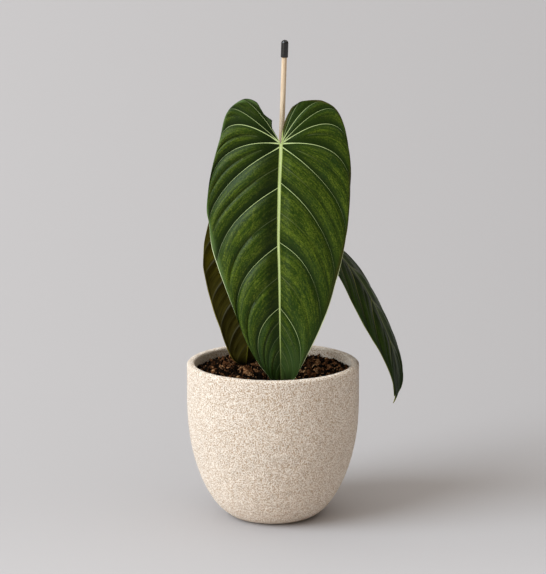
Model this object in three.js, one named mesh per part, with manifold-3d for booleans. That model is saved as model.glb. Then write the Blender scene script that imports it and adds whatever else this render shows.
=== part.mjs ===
// A black gold philodendron in a stoneware pot: three hanging leaves on their stalks, a short vine
// stem beside a capped support stick, and the soil that holds them. Millimetres, +Z up, with the
// origin on the table under the middle of the pot, and -Y towards the front of the plant.
import * as THREE from 'three';
import { mergeVertices } from 'three/addons/utils/BufferGeometryUtils.js';
import Module from 'manifold-3d';

// Clearance kept between neighbouring pieces
const GAP = 0.3;

// The pot is turned: straight at the lip, then drawn in by a soft curve to a small flat base
const POT = {
  radius: 70.2,
  height: 128,
  wall: 6.5,
  floor: 9,
  baseRadius: 31,
  curveTop: 95,
  curveRise: 2.05,
  curveSpread: 1.67,
  lipOuter: 3.6,
  lipInner: 2.7,
  wallSteps: [95, 68, 42, 22],
  sides: 48,
};

// The soil stands a little below the lip, and dips where the two leaf tips rest in it
const SOIL = {
  level: 119.6,
  crown: 1.6,
  crumb: 0.75,
  rings: 12,
  sides: POT.sides,
  hollows: [
    { x: 6, y: -37, radius: 21, depth: 8.4 },
    { x: -24, y: 25, radius: 18, depth: 5.5 },
  ],
};

// The support stick leans a little to the right
const STICK = {
  radius: 2.08,
  foot: new THREE.Vector3(0.5, 5, 118),
  lean: 1.9,
  below: 76,
  above: 268.4,
  sides: 14,
};
const CAP = { radius: 2.92, bore: 2.34, length: 14, crown: 2.0, cover: 12.6, sides: 20 };

// The vine stem, with a ring at each node and a pointed sheath at its growing tip
const STEM = {
  route: [[7.5, 14, 90], [7.4, 14, 120], [7.9, 14.2, 150], [7.5, 14, 172], [8.6, 16, 188], [10.6, 18.6, 206]],
  radius: 3.7,
  tipRadius: 0.5,
  sheathStart: 0.66,
  nodes: [138, 154, 169],
  nodeRise: 0.7,
  nodeSpread: 2.2,
  sides: 10,
  steps: 28,
};

// Each leaf stalk runs from its node on the stem to the notch of its blade
const STALKS = {
  petiole_front: {
    route: [[8.3, 9.0, 166.5], [9.6, 6.2, 171], [11.4, 4.6, 183], [12.6, -2, 224], [11.2, -14, 274], [8, -20.4, 300], [6.6, -22.5, 307.4]],
    radius: [2.3, 1.55],
  },
  petiole_back: {
    route: [[2.8, 13.4, 137.5], [0.6, 12.8, 141], [-1.6, 11.4, 151], [-4.4, 9.0, 186], [-5.8, 7.4, 226], [-5.2, 9.4, 249.6]],
    radius: [2.1, 1.4],
  },
  petiole_right: {
    route: [[12.8, 14, 152.5], [15.6, 13.5, 156.5], [21, 12.4, 168], [38.5, 8.8, 212], [45.8, 7.3, 222]],
    radius: [2.1, 1.4],
  },
};
const STALK = { sides: 9, steps: 16 };

// One side of a leaf laid flat is drawn by its side veins, from the notch down to the tip. For each,
// rib is where it leaves the midrib, pull is the point that it heads for, and edge is where it meets
// the margin. Points are [out, along]: out from the midrib, and along it from the notch to the tip.
const FRONT_RIGHT = [
  { rib: 0, pull: [0.4, -17.5], edge: [8.5, -29] },
  { rib: 0, pull: [5, -26], edge: [12.8, -31.8] },
  { rib: 0, pull: [10.9, -36], edge: [18.2, -33.6] },
  { rib: 0, pull: [17.2, -33.9], edge: [33.2, -33.9] },
  { rib: 0, pull: [35.4, -40.2], edge: [46.8, -22.5] },
  { rib: 0, pull: [49.3, -35.3], edge: [55.1, 8.3] },
  { rib: 0, pull: [52.8, -5.7], edge: [56.6, 31.6] },
  { rib: 2, pull: [54.1, 34.8], edge: [53.5, 74.8] },
  { rib: 30, pull: [43.2, 61.6], edge: [44.6, 111.2] },
  { rib: 77, pull: [31.6, 96], edge: [32.8, 143.8] },
  { rib: 129, pull: [27.2, 160.1], edge: [8.2, 190.1] },
  { rib: 151, pull: [15, 172], edge: [5.4, 193.5] },
  { rib: 173, pull: [6.5, 182], edge: [2.6, 198] },
  { rib: 204, pull: [0, 204], edge: [0, 204] },
];
const FRONT_LEFT = [
  { rib: 0, pull: [8.4, -7.5], edge: [7, -18.4] },
  { rib: 0, pull: [8.4, -13.5], edge: [14.6, -24.6] },
  { rib: 0, pull: [11, -19], edge: [19.5, -33] },
  { rib: 0, pull: [19.8, -32], edge: [30.3, -35] },
  { rib: 0, pull: [38.7, -37.1], edge: [42.8, -24.8] },
  { rib: 0, pull: [41.9, -29.5], edge: [49, -1.7] },
  { rib: 0, pull: [53.7, -4.8], edge: [57.1, 45.3] },
  { rib: 2, pull: [54.5, 35.1], edge: [55.4, 65.2] },
  { rib: 34, pull: [42.8, 60.2], edge: [49.5, 92.9] },
  { rib: 80, pull: [49.6, 111], edge: [25.6, 156.9] },
  { rib: 129, pull: [28.4, 148.3], edge: [10.7, 183.1] },
  { rib: 151, pull: [15, 165], edge: [5.3, 192.5] },
  { rib: 173, pull: [7, 182], edge: [2.6, 198] },
  { rib: 204, pull: [0, 204], edge: [0, 204] },
];

// The back leaf is younger, so it is broader for its length
const YOUNG_HALF = [
  { rib: 0, pull: [1, -12], edge: [6.5, -18] },
  { rib: 0, pull: [7, -18], edge: [19, -24] },
  { rib: 0, pull: [21, -28], edge: [36, -17] },
  { rib: 0, pull: [31, -22], edge: [43, 3] },
  { rib: 0, pull: [40, -2], edge: [47.5, 25] },
  { rib: 7, pull: [41, 14], edge: [48.2, 46] },
  { rib: 24, pull: [38, 35], edge: [45, 66] },
  { rib: 45, pull: [34, 60], edge: [35.5, 90] },
  { rib: 68, pull: [26, 84], edge: [24.3, 111] },
  { rib: 93, pull: [16, 106], edge: [14.6, 129] },
  { rib: 119, pull: [8, 129], edge: [7.6, 140.5] },
  { rib: 146, pull: [0, 146], edge: [0, 146] },
];

// How each blade hangs. heading is the compass way that its face looks, in degrees from +X, and
// grow scales its outline [out, along]. The lists give a bend at distances along the midrib: lean is
// the midrib's angle below level, sway its shift across, roll the turn of the blade about it, and
// folds how far each side is lifted. A vein's furrow is as deep as its share of the space to the next.
const LEAVES = {
  leaf_front: {
    notch: [6.3, -24, 308.6],
    heading: -90,
    sides: [FRONT_RIGHT, FRONT_LEFT],
    grow: [1, 1],
    length: 204,
    lean: [[-40, 76], [0, 79], [60, 82], [120, 84], [160, 86], [176, 92], [186, 112], [196, 158], [204, 172]],
    sway: [[0, 0], [30, -1.4], [75, -2.3], [100, -1.5], [150, -0.9], [186, -0.1]],
    roll: [[0, 0]],
    folds: [[[0, -4], [204, -6]], [[0, -4], [204, -6]]],
    droop: 0.06,
    thickness: 0.8,
    furrow: [0.085, 1.7],
    wave: 1.3,
    across: 9,
    perVein: 3,
  },
  leaf_back: {
    notch: [-5, 11, 252],
    heading: 90,
    sides: [YOUNG_HALF, YOUNG_HALF],
    grow: [1, 0.955],
    length: 139.4,
    lean: [[-30, 84], [0, 88], [109, 88], [123, 85], [131, 40], [139.4, 10]],
    sway: [[0, 0], [58, 6], [117, 16.5], [139.4, 18]],
    roll: [[0, 0]],
    folds: [[[0, 2], [139.4, 2]], [[0, 48], [96, 44], [139.4, 20]]],
    droop: 0.05,
    thickness: 0.7,
    furrow: [0.08, 1.3],
    wave: 1,
    across: 7,
    perVein: 3,
  },
  leaf_right: {
    notch: [45.4, 7.4, 223.7],
    heading: -8,
    sides: [FRONT_LEFT, FRONT_RIGHT],
    grow: [0.66, 0.725],
    length: 148,
    lean: [
      [-22, 41], [0, 45], [26, 49.5], [45, 58.5], [65, 64.5], [84, 66], [98, 72], [111, 78], [121, 82.5], [132, 91],
      [140, 103], [148, 116],
    ],
    sway: [[0, 0]],
    roll: [[0, 0.4], [60, 1.6], [120, 6]],
    folds: [
      [[0, -6], [105, -5.5], [122, 0], [135, 15]],
      [[0, -3], [25, -8.5], [45, -12.5], [65, -14.5], [85, -17], [105, -16], [122, -14], [135, -11]],
    ],
    droop: 0.02,
    thickness: 0.7,
    furrow: [0.08, 1.2],
    wave: 0.9,
    across: 7,
    perVein: 3,
  },
};

// A midrib's shifts across are eased over this stretch each way
const SWAY_EASE = 12;

// Finishes: colour, roughness and metalness of each material
const finish = (name, color, roughness) => new THREE.MeshStandardMaterial({ name, color, roughness, metalness: 0 });
const FINISHES = {
  stoneware: finish('stoneware', 0xd6c6b4, 0.95),
  soil: finish('soil', 0x34251a, 1),
  wood: finish('wood', 0xdac7ac, 0.7),
  rubber: finish('rubber', 0x151514, 0.35),
  stalk: finish('stalk', 0x7d8c4e, 0.5),
  leaf: finish('leaf', 0x3d521f, 0.55),
  youngLeaf: finish('youngLeaf', 0x302f0c, 0.55),
};

// A list of [distance, value] read at a distance along, straight between its entries
function readBend(bend, along) {
  if (along <= bend[0][0]) return bend[0][1];
  for (let k = 1; k < bend.length; k += 1) {
    const [start, from] = bend[k - 1];
    const [end, to] = bend[k];
    if (along <= end) return from + ((to - from) * (along - start)) / (end - start);
  }
  return bend[bend.length - 1][1];
}

// A smooth pass through four neighbouring values, at fraction f between the middle two
function passThrough(before, from, to, after, f) {
  const slope = to - before;
  const square = 2 * before - 5 * from + 4 * to - after;
  const cube = 3 * (from - to) + after - before;
  return from + 0.5 * f * (slope + f * (square + f * cube));
}

// Makes a mesh geometry from its corners and triangles
function solidGeometry(corners, triangles) {
  const geometry = new THREE.BufferGeometry();
  geometry.setAttribute('position', new THREE.Float32BufferAttribute(corners.flatMap((p) => [p.x, p.y, p.z]), 3));
  geometry.setIndex(triangles.flat());
  return geometry;
}

// The outside radius of the pot at a height: a rounded bowl that runs into a straight wall
function potRadius(z) {
  const down = Math.max(0, 1 - z / POT.curveTop);
  return POT.baseRadius + (POT.radius - POT.baseRadius) * (1 - down ** POT.curveRise) ** (1 / POT.curveSpread);
}

// Points of a quarter turn from one corner direction to the next, for a rounded lip
function lipArc(centreR, centreZ, radius, fromDegrees, toDegrees, steps) {
  return Array.from({ length: steps + 1 }, (_, k) => {
    const angle = THREE.MathUtils.degToRad(fromDegrees + ((toDegrees - fromDegrees) * k) / steps);
    return new THREE.Vector2(centreR + radius * Math.cos(angle), centreZ + radius * Math.sin(angle));
  });
}

// The pot: one turned shell with a flat base and a rounded lip, open at the top
function makePot() {
  const outside = [];
  const steps = 11;
  for (let k = 1; k <= steps; k += 1) {
    const z = POT.curveTop * (k / steps) ** 1.9;
    outside.push(new THREE.Vector2(potRadius(z), z));
  }
  const lipOuter = lipArc(POT.radius - POT.lipOuter, POT.height - POT.lipOuter, POT.lipOuter, 0, 90, 4);
  const innerRadius = POT.radius - POT.wall;
  const lipInner = lipArc(innerRadius + POT.lipInner, POT.height - POT.lipInner, POT.lipInner, 90, 180, 3);
  const inside = [...POT.wallSteps, POT.floor].map((z) => new THREE.Vector2(potRadius(z) - POT.wall, z));
  const profile = [
    new THREE.Vector2(0, 0),
    new THREE.Vector2(POT.baseRadius, 0),
    ...outside,
    ...lipOuter,
    ...lipInner,
    ...inside,
    new THREE.Vector2(0, POT.floor),
  ];
  const geometry = new THREE.LatheGeometry(profile, POT.sides);
  geometry.rotateX(Math.PI / 2);
  return geometry;
}

// Height of the soil: a slight crown, crumbs, and a hollow under each resting leaf tip
function soilHeight(x, y) {
  const out = Math.hypot(x, y) / POT.radius;
  let height = SOIL.level + SOIL.crown * (1 - out * out);
  height += SOIL.crumb * (Math.sin(0.61 * x + 1.3) * Math.sin(0.53 * y + 0.4) + 0.6 * Math.sin(0.93 * x - 0.7 * y));
  height += SOIL.crumb * 0.5 * Math.sin(1.21 * y + 0.45 * x + 2.1);
  for (const hollow of SOIL.hollows) {
    const near = Math.min(1, 1.8 * Math.max(0, 1 - Math.hypot(x - hollow.x, y - hollow.y) / hollow.radius));
    height -= hollow.depth * near * near * (3 - 2 * near);
  }
  return height;
}

// The soil: it fills the pot from the floor up, clear of the wall, with its top raised by formula
function makeSoil() {
  const reach = POT.radius - POT.wall - GAP;
  const corners = [new THREE.Vector3(0, 0, soilHeight(0, 0))];
  const ringAt = (radiusOf, heightOf) => {
    for (let j = 0; j < SOIL.sides; j += 1) {
      const angle = (2 * Math.PI * j) / SOIL.sides;
      const x = radiusOf * Math.cos(angle);
      const y = radiusOf * Math.sin(angle);
      corners.push(new THREE.Vector3(x, y, heightOf(x, y)));
    }
  };
  for (let k = 1; k <= SOIL.rings; k += 1) ringAt((reach * k) / SOIL.rings, soilHeight);
  const walls = [...POT.wallSteps, POT.floor + GAP];
  for (const z of walls) ringAt(potRadius(z) - POT.wall - GAP, () => z);
  corners.push(new THREE.Vector3(0, 0, POT.floor + GAP));

  const rings = SOIL.rings + walls.length;
  const at = (ring, j) => 1 + (ring - 1) * SOIL.sides + (j % SOIL.sides);
  const triangles = [];
  for (let j = 0; j < SOIL.sides; j += 1) {
    triangles.push([0, at(1, j), at(1, j + 1)]);
    for (let ring = 1; ring < rings; ring += 1) {
      triangles.push([at(ring, j), at(ring + 1, j), at(ring + 1, j + 1)]);
      triangles.push([at(ring, j), at(ring + 1, j + 1), at(ring, j + 1)]);
    }
    triangles.push([at(rings, j), corners.length - 1, at(rings, j + 1)]);
  }
  return solidGeometry(corners, triangles);
}

// A round stalk along a curve, closed by a rounded nose at both ends
function sweepStalk(route, radiusAt, sides, steps) {
  const curve = new THREE.CatmullRomCurve3(route.map((p) => new THREE.Vector3(...p)), false, 'centripetal');
  const frames = curve.computeFrenetFrames(steps, false);
  const corners = [curve.getPointAt(0)];
  for (let k = 0; k <= steps; k += 1) {
    const centre = curve.getPointAt(k / steps);
    const nose = k === 0 || k === steps ? 0.62 : 1;
    const shift = k === 0 ? 0.35 : k === steps ? -0.35 : 0;
    const radius = radiusAt(k / steps, centre) * nose;
    centre.addScaledVector(frames.tangents[k], shift * radius);
    for (let j = 0; j < sides; j += 1) {
      const angle = (2 * Math.PI * j) / sides;
      const rim = centre.clone();
      rim.addScaledVector(frames.normals[k], radius * Math.cos(angle));
      rim.addScaledVector(frames.binormals[k], radius * Math.sin(angle));
      corners.push(rim);
    }
  }
  corners.push(curve.getPointAt(1));
  const at = (k, j) => 1 + k * sides + (j % sides);
  const last = corners.length - 1;
  const triangles = [];
  for (let j = 0; j < sides; j += 1) {
    triangles.push([0, at(0, j + 1), at(0, j)]);
    for (let k = 0; k < steps; k += 1) {
      triangles.push([at(k, j), at(k, j + 1), at(k + 1, j + 1)]);
      triangles.push([at(k, j), at(k + 1, j + 1), at(k + 1, j)]);
    }
    triangles.push([at(steps, j), at(steps, j + 1), last]);
  }
  return solidGeometry(corners, triangles);
}

// The vine stem: full width up to its last node, then narrowing into the sheath of the next leaf
function makeStem() {
  const radiusAt = (share, centre) => {
    const narrowing = Math.max(0, (share - STEM.sheathStart) / (1 - STEM.sheathStart));
    let radius = STEM.radius + (STEM.tipRadius - STEM.radius) * narrowing ** 0.8;
    for (const node of STEM.nodes) {
      radius += STEM.nodeRise * Math.exp(-(((centre.z - node) / STEM.nodeSpread) ** 2));
    }
    return radius;
  };
  return sweepStalk(STEM.route, radiusAt, STEM.sides, STEM.steps);
}

// One leaf stalk, thicker at the stem than at the blade
function makePetiole({ route, radius }) {
  const [foot, top] = radius;
  const radiusAt = (share) => foot + (top - foot) * Math.min(1, share * 2.2);
  return sweepStalk(route, radiusAt, STALK.sides, STALK.steps);
}

// A bend averaged over a stretch each way, so that the midrib turns without a kink
function easedBend(bend, along) {
  let sum = 0;
  for (let shift = -SWAY_EASE; shift <= SWAY_EASE; shift += 1) sum += readBend(bend, along + shift);
  return sum / (2 * SWAY_EASE + 1);
}

// The midrib of a leaf in space: its points and the blade's frame at any distance along
class Midrib {
  constructor({ notch, heading, lean, sway, roll, length }) {
    this.step = 1;
    this.start = -60;
    this.roll = roll;
    const turn = THREE.MathUtils.degToRad(heading);
    const level = new THREE.Vector3(Math.cos(turn), Math.sin(turn), 0);
    const across = new THREE.Vector3(-level.y, level.x, 0);
    this.points = [];
    const place = new THREE.Vector3();
    for (let along = this.start; along <= length + 2; along += this.step) {
      const shifted = place.clone().addScaledVector(across, easedBend(sway, along));
      this.points.push(shifted);
      const angle = THREE.MathUtils.degToRad(readBend(lean, along + this.step / 2));
      place.addScaledVector(level, this.step * Math.cos(angle));
      place.z -= this.step * Math.sin(angle);
    }
    const origin = this.points[-this.start / this.step].clone();
    const notchPoint = new THREE.Vector3(...notch);
    this.points.forEach((point) => point.sub(origin).add(notchPoint));
    this.across = across;
  }

  // Point, tangent, outward and face directions at a distance along the midrib
  frame(along) {
    const place = (along - this.start) / this.step;
    const k = Math.min(this.points.length - 3, Math.max(1, Math.floor(place)));
    const f = Math.min(1, Math.max(0, place - k));
    const point = this.points[k].clone().lerp(this.points[k + 1], f);
    const before = this.points[k + 1].clone().sub(this.points[k - 1]);
    const after = this.points[k + 2].clone().sub(this.points[k]);
    const tangent = before.lerp(after, f).normalize();
    const outward = this.across.clone().addScaledVector(tangent, -this.across.dot(tangent)).normalize();
    const face = new THREE.Vector3().crossVectors(tangent, outward);
    const roll = THREE.MathUtils.degToRad(readBend(this.roll, along));
    outward.applyAxisAngle(tangent, roll);
    face.applyAxisAngle(tangent, roll);
    return { point, outward, face };
  }
}

// The flat outline and side veins of one half, read at a place s down the vein list and t out
class HalfLeaf {
  constructor(veins, [growOut, growAlong]) {
    this.veins = veins.map(({ rib, pull, edge }) => ({
      rib: rib * growAlong,
      pull: [pull[0] * growOut, pull[1] * growAlong],
      edge: [edge[0] * growOut, edge[1] * growAlong],
    }));
    this.last = veins.length - 1;
  }

  // Flat place [out, along] of a point
  point(s, t) {
    const k = Math.min(this.last - 1, Math.floor(s));
    const f = s - k;
    const pick = (offset) => this.veins[Math.min(this.last, Math.max(0, k + offset))];
    const through = (key, axis) => passThrough(...[-1, 0, 1, 2].map((offset) => pick(offset)[key][axis]), f);
    const rib = pick(0).rib + (pick(1).rib - pick(0).rib) * f;
    const [start, bend, end] = [(1 - t) ** 2, 2 * t * (1 - t), t * t];
    return [
      bend * through('pull', 0) + end * through('edge', 0),
      start * rib + bend * through('pull', 1) + end * through('edge', 1),
    ];
  }

  // How far the blade rises at a point, between the furrows of the veins on either side of it
  swell(s, t, [share, most]) {
    const k = Math.min(this.last - 1, Math.floor(s));
    const [before, after] = [this.point(k, t), this.point(k + 1, t)];
    const space = Math.hypot(after[0] - before[0], after[1] - before[1]);
    return Math.min(most, share * space) * Math.sin(Math.PI * (s - k)) ** 0.8 * (1 - t ** 4);
  }
}

// A blade: both halves over the midrib, swollen between the veins, with a waved margin
function makeBlade(spec) {
  const midrib = new Midrib(spec);
  const faces = [[], []];
  const index = new Map();
  const columns = [];

  const addCorner = (key, middle, normal) => {
    if (!index.has(key)) {
      index.set(key, faces[0].length);
      faces[0].push(middle.clone().addScaledVector(normal, spec.thickness / 2));
      faces[1].push(middle.clone().addScaledVector(normal, -spec.thickness / 2));
    }
    return index.get(key);
  };

  spec.sides.forEach((veins, side) => {
    const half = new HalfLeaf(veins, spec.grow);
    const sign = side === 0 ? 1 : -1;
    const steps = half.last * spec.perVein;
    const rows = [];
    for (let i = 0; i <= steps; i += 1) {
      const s = i / spec.perVein;
      const row = [];
      for (let j = 0; j <= spec.across; j += 1) {
        const t = (j / spec.across) ** 0.85;
        const [out, along] = half.point(s, t);
        const { point, outward, face } = midrib.frame(along);
        const angle = THREE.MathUtils.degToRad(readBend(spec.folds[side], along) - spec.droop * out);
        const rise = half.swell(s, t, spec.furrow) + spec.wave * t ** 3 * Math.sin(2.1 * s + 2.4 * side);
        const normal = face.clone().multiplyScalar(Math.cos(angle));
        normal.addScaledVector(outward, -sign * Math.sin(angle));
        point.addScaledVector(outward, sign * out * Math.cos(angle));
        point.addScaledVector(face, out * Math.sin(angle));
        point.addScaledVector(normal, rise * Math.min(1, out / 8));
        let key = `${side}:${i}:${j}`;
        if (j === 0) key = `rib:${along.toFixed(3)}`;
        if (i === steps) key = 'tip';
        row.push(addCorner(key, point, j === 0 ? face : normal));
      }
      rows.push(row);
    }
    columns.push(rows);
  });

  const top = [];
  const addTriangle = (a, b, c) => {
    if (a !== b && b !== c && c !== a) top.push([a, b, c]);
  };
  columns.forEach((rows, side) => {
    for (let i = 0; i + 1 < rows.length; i += 1) {
      for (let j = 0; j < spec.across; j += 1) {
        const [a, b, c, d] = [rows[i][j], rows[i + 1][j], rows[i + 1][j + 1], rows[i][j + 1]];
        if (side === 0) {
          addTriangle(a, b, c);
          addTriangle(a, c, d);
        } else {
          addTriangle(a, c, b);
          addTriangle(a, d, c);
        }
      }
    }
  });
  return closeSheet(faces, top);
}

// Joins the two faces of a sheet with a narrow wall all round its free edge
function closeSheet(faces, top) {
  const below = faces[0].length;
  const edges = new Set(top.flatMap(([a, b, c]) => [`${a} ${b}`, `${b} ${c}`, `${c} ${a}`]));
  const triangles = [...top];
  top.forEach(([a, b, c]) => triangles.push([a + below, c + below, b + below]));
  edges.forEach((edge) => {
    const [from, to] = edge.split(' ').map(Number);
    if (edges.has(`${to} ${from}`)) return;
    triangles.push([from, from + below, to + below]);
    triangles.push([from, to + below, to]);
  });
  return solidGeometry([...faces[0], ...faces[1]], triangles);
}

// The cap: a drawn cup with a domed top and a blind bore that the stick's end fits into
function makeCap() {
  const crown = Array.from({ length: 5 }, (_, k) => {
    const angle = (Math.PI / 2) * (k / 4);
    return new THREE.Vector2(CAP.radius * Math.cos(angle), CAP.length - CAP.crown + CAP.crown * Math.sin(angle));
  });
  const profile = [
    new THREE.Vector2(0, CAP.cover),
    new THREE.Vector2(CAP.bore, CAP.cover),
    new THREE.Vector2(CAP.bore, 0),
    new THREE.Vector2(CAP.radius - 0.25, 0),
    new THREE.Vector2(CAP.radius, 0.3),
    ...crown.slice(0, -1),
    new THREE.Vector2(0, CAP.length),
  ];
  const geometry = new THREE.LatheGeometry(profile, CAP.sides);
  geometry.rotateX(Math.PI / 2);
  return geometry;
}

// Solid joins and cuts
const wasm = await Module();
wasm.setup();

function toSolid(geometry) {
  const bare = geometry.clone();
  bare.deleteAttribute('normal');
  bare.deleteAttribute('uv');
  const merged = mergeVertices(bare, 1e-4);
  return new wasm.Manifold(new wasm.Mesh({
    numProp: 3,
    vertProperties: new Float32Array(merged.attributes.position.array),
    triVerts: new Uint32Array(merged.index.array),
  }));
}

function toGeometry(solid) {
  const mesh = solid.getMesh();
  const geometry = new THREE.BufferGeometry();
  geometry.setAttribute('position', new THREE.Float32BufferAttribute(mesh.vertProperties, 3));
  geometry.setIndex(Array.from(mesh.triVerts));
  return geometry;
}

// A plain hole through the soil's top, wider than what stands in it by the clearance all round
function holeAround(radius, foot, top) {
  const low = new THREE.Vector3(...foot);
  const high = new THREE.Vector3(...top);
  const geometry = new THREE.CylinderGeometry(radius + GAP, radius + GAP, low.distanceTo(high), 18);
  geometry.rotateX(Math.PI / 2);
  const turn = new THREE.Quaternion().setFromUnitVectors(new THREE.Vector3(0, 0, 1), high.clone().sub(low).normalize());
  geometry.applyQuaternion(turn);
  geometry.translate(...low.add(high).multiplyScalar(0.5).toArray());
  return toSolid(geometry);
}

const plant = new THREE.Group();

function addPiece(name, geometry, material, parent = plant) {
  const mesh = new THREE.Mesh(geometry, material);
  mesh.name = name;
  parent.add(mesh);
  return mesh;
}

addPiece('pot', makePot(), FINISHES.stoneware);

// The stick and its cap share one leaning frame, with its origin where the stick enters the soil
const support = new THREE.Group();
support.position.copy(STICK.foot);
support.rotation.y = THREE.MathUtils.degToRad(STICK.lean);
plant.add(support);
const rod = new THREE.CylinderGeometry(STICK.radius, STICK.radius, STICK.below + STICK.above, STICK.sides);
rod.rotateX(Math.PI / 2);
rod.translate(0, 0, (STICK.above - STICK.below) / 2);
addPiece('stake', rod, FINISHES.wood, support);
const cap = addPiece('stake_cap', makeCap(), FINISHES.rubber, support);
cap.position.z = STICK.above + GAP - CAP.cover;

// The soil, with plain holes for the stick and the stem
const stickPoint = (z) => new THREE.Vector3(0, 0, z).applyEuler(support.rotation).add(STICK.foot).toArray();
const stemFoot = STEM.route[0];
const soil = toSolid(makeSoil())
  .subtract(holeAround(STICK.radius, stickPoint(-STICK.below - GAP), stickPoint(20)))
  .subtract(holeAround(STEM.radius + 0.25, [stemFoot[0], stemFoot[1], stemFoot[2] - GAP], [7.4, 14, 134]));
addPiece('soil', toGeometry(soil), FINISHES.soil);

addPiece('stem', makeStem(), FINISHES.stalk);
for (const [name, stalk] of Object.entries(STALKS)) addPiece(name, makePetiole(stalk), FINISHES.stalk);
for (const [name, spec] of Object.entries(LEAVES)) {
  addPiece(name, makeBlade(spec), name === 'leaf_front' ? FINISHES.leaf : FINISHES.youngLeaf);
}

export default plant;
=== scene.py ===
"""Dresses a black gold philodendron in its stoneware pot: leaves, stalks, support stick, soil and pot.

Sizes are in millimetres here, and are turned to metres as each mesh is made. Colours are sRGB hex
values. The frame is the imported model's: +Z up, and -Y towards the front of the plant.
"""

import logging
import math
from dataclasses import dataclass
from enum import Enum
from functools import partial
from typing import Callable

import bpy
import numpy as np
from bpy.types import Material, Mesh, Node, NodeOutputs, NodeSocket, NodeTree, Object
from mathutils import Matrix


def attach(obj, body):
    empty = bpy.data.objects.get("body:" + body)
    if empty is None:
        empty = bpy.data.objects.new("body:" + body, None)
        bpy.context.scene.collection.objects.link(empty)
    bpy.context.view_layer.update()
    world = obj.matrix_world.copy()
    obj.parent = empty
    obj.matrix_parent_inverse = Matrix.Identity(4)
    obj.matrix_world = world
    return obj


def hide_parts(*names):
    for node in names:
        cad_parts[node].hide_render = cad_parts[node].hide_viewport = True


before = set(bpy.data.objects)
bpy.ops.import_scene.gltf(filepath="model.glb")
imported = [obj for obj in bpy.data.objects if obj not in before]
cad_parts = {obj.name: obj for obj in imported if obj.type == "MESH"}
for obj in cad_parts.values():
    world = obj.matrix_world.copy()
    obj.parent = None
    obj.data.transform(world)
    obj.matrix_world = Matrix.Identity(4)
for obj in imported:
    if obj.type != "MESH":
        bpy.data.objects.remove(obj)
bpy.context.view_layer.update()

MM = 0.001
SEED = 41

Outline = list[tuple[float, float]]

log = logging.getLogger("plant")


class Layer(Enum):
    """Names of the attributes that carry a pattern to a material, or a girth to the sweep.

    On a leaf, VEINS holds the distances from the nearest side vein, from the midrib in rib widths and
    from the margin. GRAIN holds the place across the veins, the distance along them and their strength.
    LOBE holds how far the quilt swells, the share of the way to the tip, and 1 on the underside. FURROW
    holds the distance from the next minor vein, the shade beside a vein and the distance from the notch.
    """

    VEINS = "veins"
    GRAIN = "grain"
    LOBE = "lobe"
    FURROW = "furrow"
    TONE = "tone"
    GIRTH = "girth"


LEAF_LAYERS = (Layer.VEINS, Layer.GRAIN, Layer.LOBE, Layer.FURROW)


def linear(colour: str) -> tuple[float, float, float, float]:
    """Turns an sRGB hex colour to linear.

    Args:
        colour: Six hex digits.

    Returns:
        Linear red, green and blue, and an alpha of 1.
    """
    parts = [int(colour[k:k + 2], 16) / 255 for k in (0, 2, 4)]
    bright = [c / 12.92 if c <= 0.04045 else ((c + 0.055) / 1.055) ** 2.4 for c in parts]
    return (*bright, 1.0)


def add_node(tree: NodeTree, kind: str, inputs: dict | None = None, **settings: object) -> Node:
    """Adds a node with its settings, and sets or links its inputs.

    Args:
        tree: The tree that gets the node.
        kind: The node's type name.
        inputs: Values by input name or index. A node gives its first enabled output.
        settings: The node's own settings.

    Returns:
        The new node.
    """
    node = tree.nodes.new(kind)
    for name, value in settings.items():
        setattr(node, name, value)
    for key, value in (inputs or {}).items():
        if isinstance(value, Node):
            value = next(out for out in value.outputs if out.enabled)
        if isinstance(value, NodeSocket):
            tree.links.new(value, node.inputs[key])
        else:
            node.inputs[key].default_value = value
    return node


def new_material(name: str) -> tuple[Material, Callable]:
    """Makes an empty node material.

    Args:
        name: The material's name.

    Returns:
        The material, and add_node for its tree.
    """
    material = bpy.data.materials.new(name)
    material.use_nodes = True
    material.node_tree.nodes.clear()
    return material, partial(add_node, material.node_tree)


def smooth(value: np.ndarray) -> np.ndarray:
    """Eases a value from 0 to 1, and holds it outside that range."""
    held = np.clip(value, 0, 1)
    return held * held * (3 - 2 * held)


def lattice_noise(x: np.ndarray, y: np.ndarray, seed: int) -> np.ndarray:
    """Smooth seeded noise from -1 to 1, with features about one unit across.

    Args:
        x: First coordinate.
        y: Second coordinate, of the same shape.
        seed: Seed of the lattice.

    Returns:
        The noise at each place.
    """
    side = 97
    lattice = np.random.default_rng(seed).uniform(-1, 1, (side, side))
    col, row = np.floor(x).astype(int), np.floor(y).astype(int)
    right, down = smooth(x - col), smooth(y - row)
    first = lattice[row % side, col % side] * (1 - right) + lattice[row % side, (col + 1) % side] * right
    below = (row + 1) % side
    second = lattice[below, col % side] * (1 - right) + lattice[below, (col + 1) % side] * right
    return first * (1 - down) + second * down


def ring_faces(rings: int, sides: int, top_first: bool = False) -> list[list[int]]:
    """Joins a pole, rings of corners and another pole into a closed skin.

    Args:
        rings: Number of rings.
        sides: Corners in each ring.
        top_first: Whether the rings run from the top down, and not up.

    Returns:
        Faces that point outwards.
    """
    faces = []
    top = 1 + (rings - 1) * sides
    for j in range(sides):
        k = (j + 1) % sides
        faces.append([0, 1 + k, 1 + j])
        for low in range(1, top, sides):
            high = low + sides
            faces.append([low + j, low + k, high + k, high + j])
        faces.append([top + j, top + k, top + sides])
    if top_first:
        faces = [[face[0], *face[:0:-1]] for face in faces]
    return faces


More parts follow.
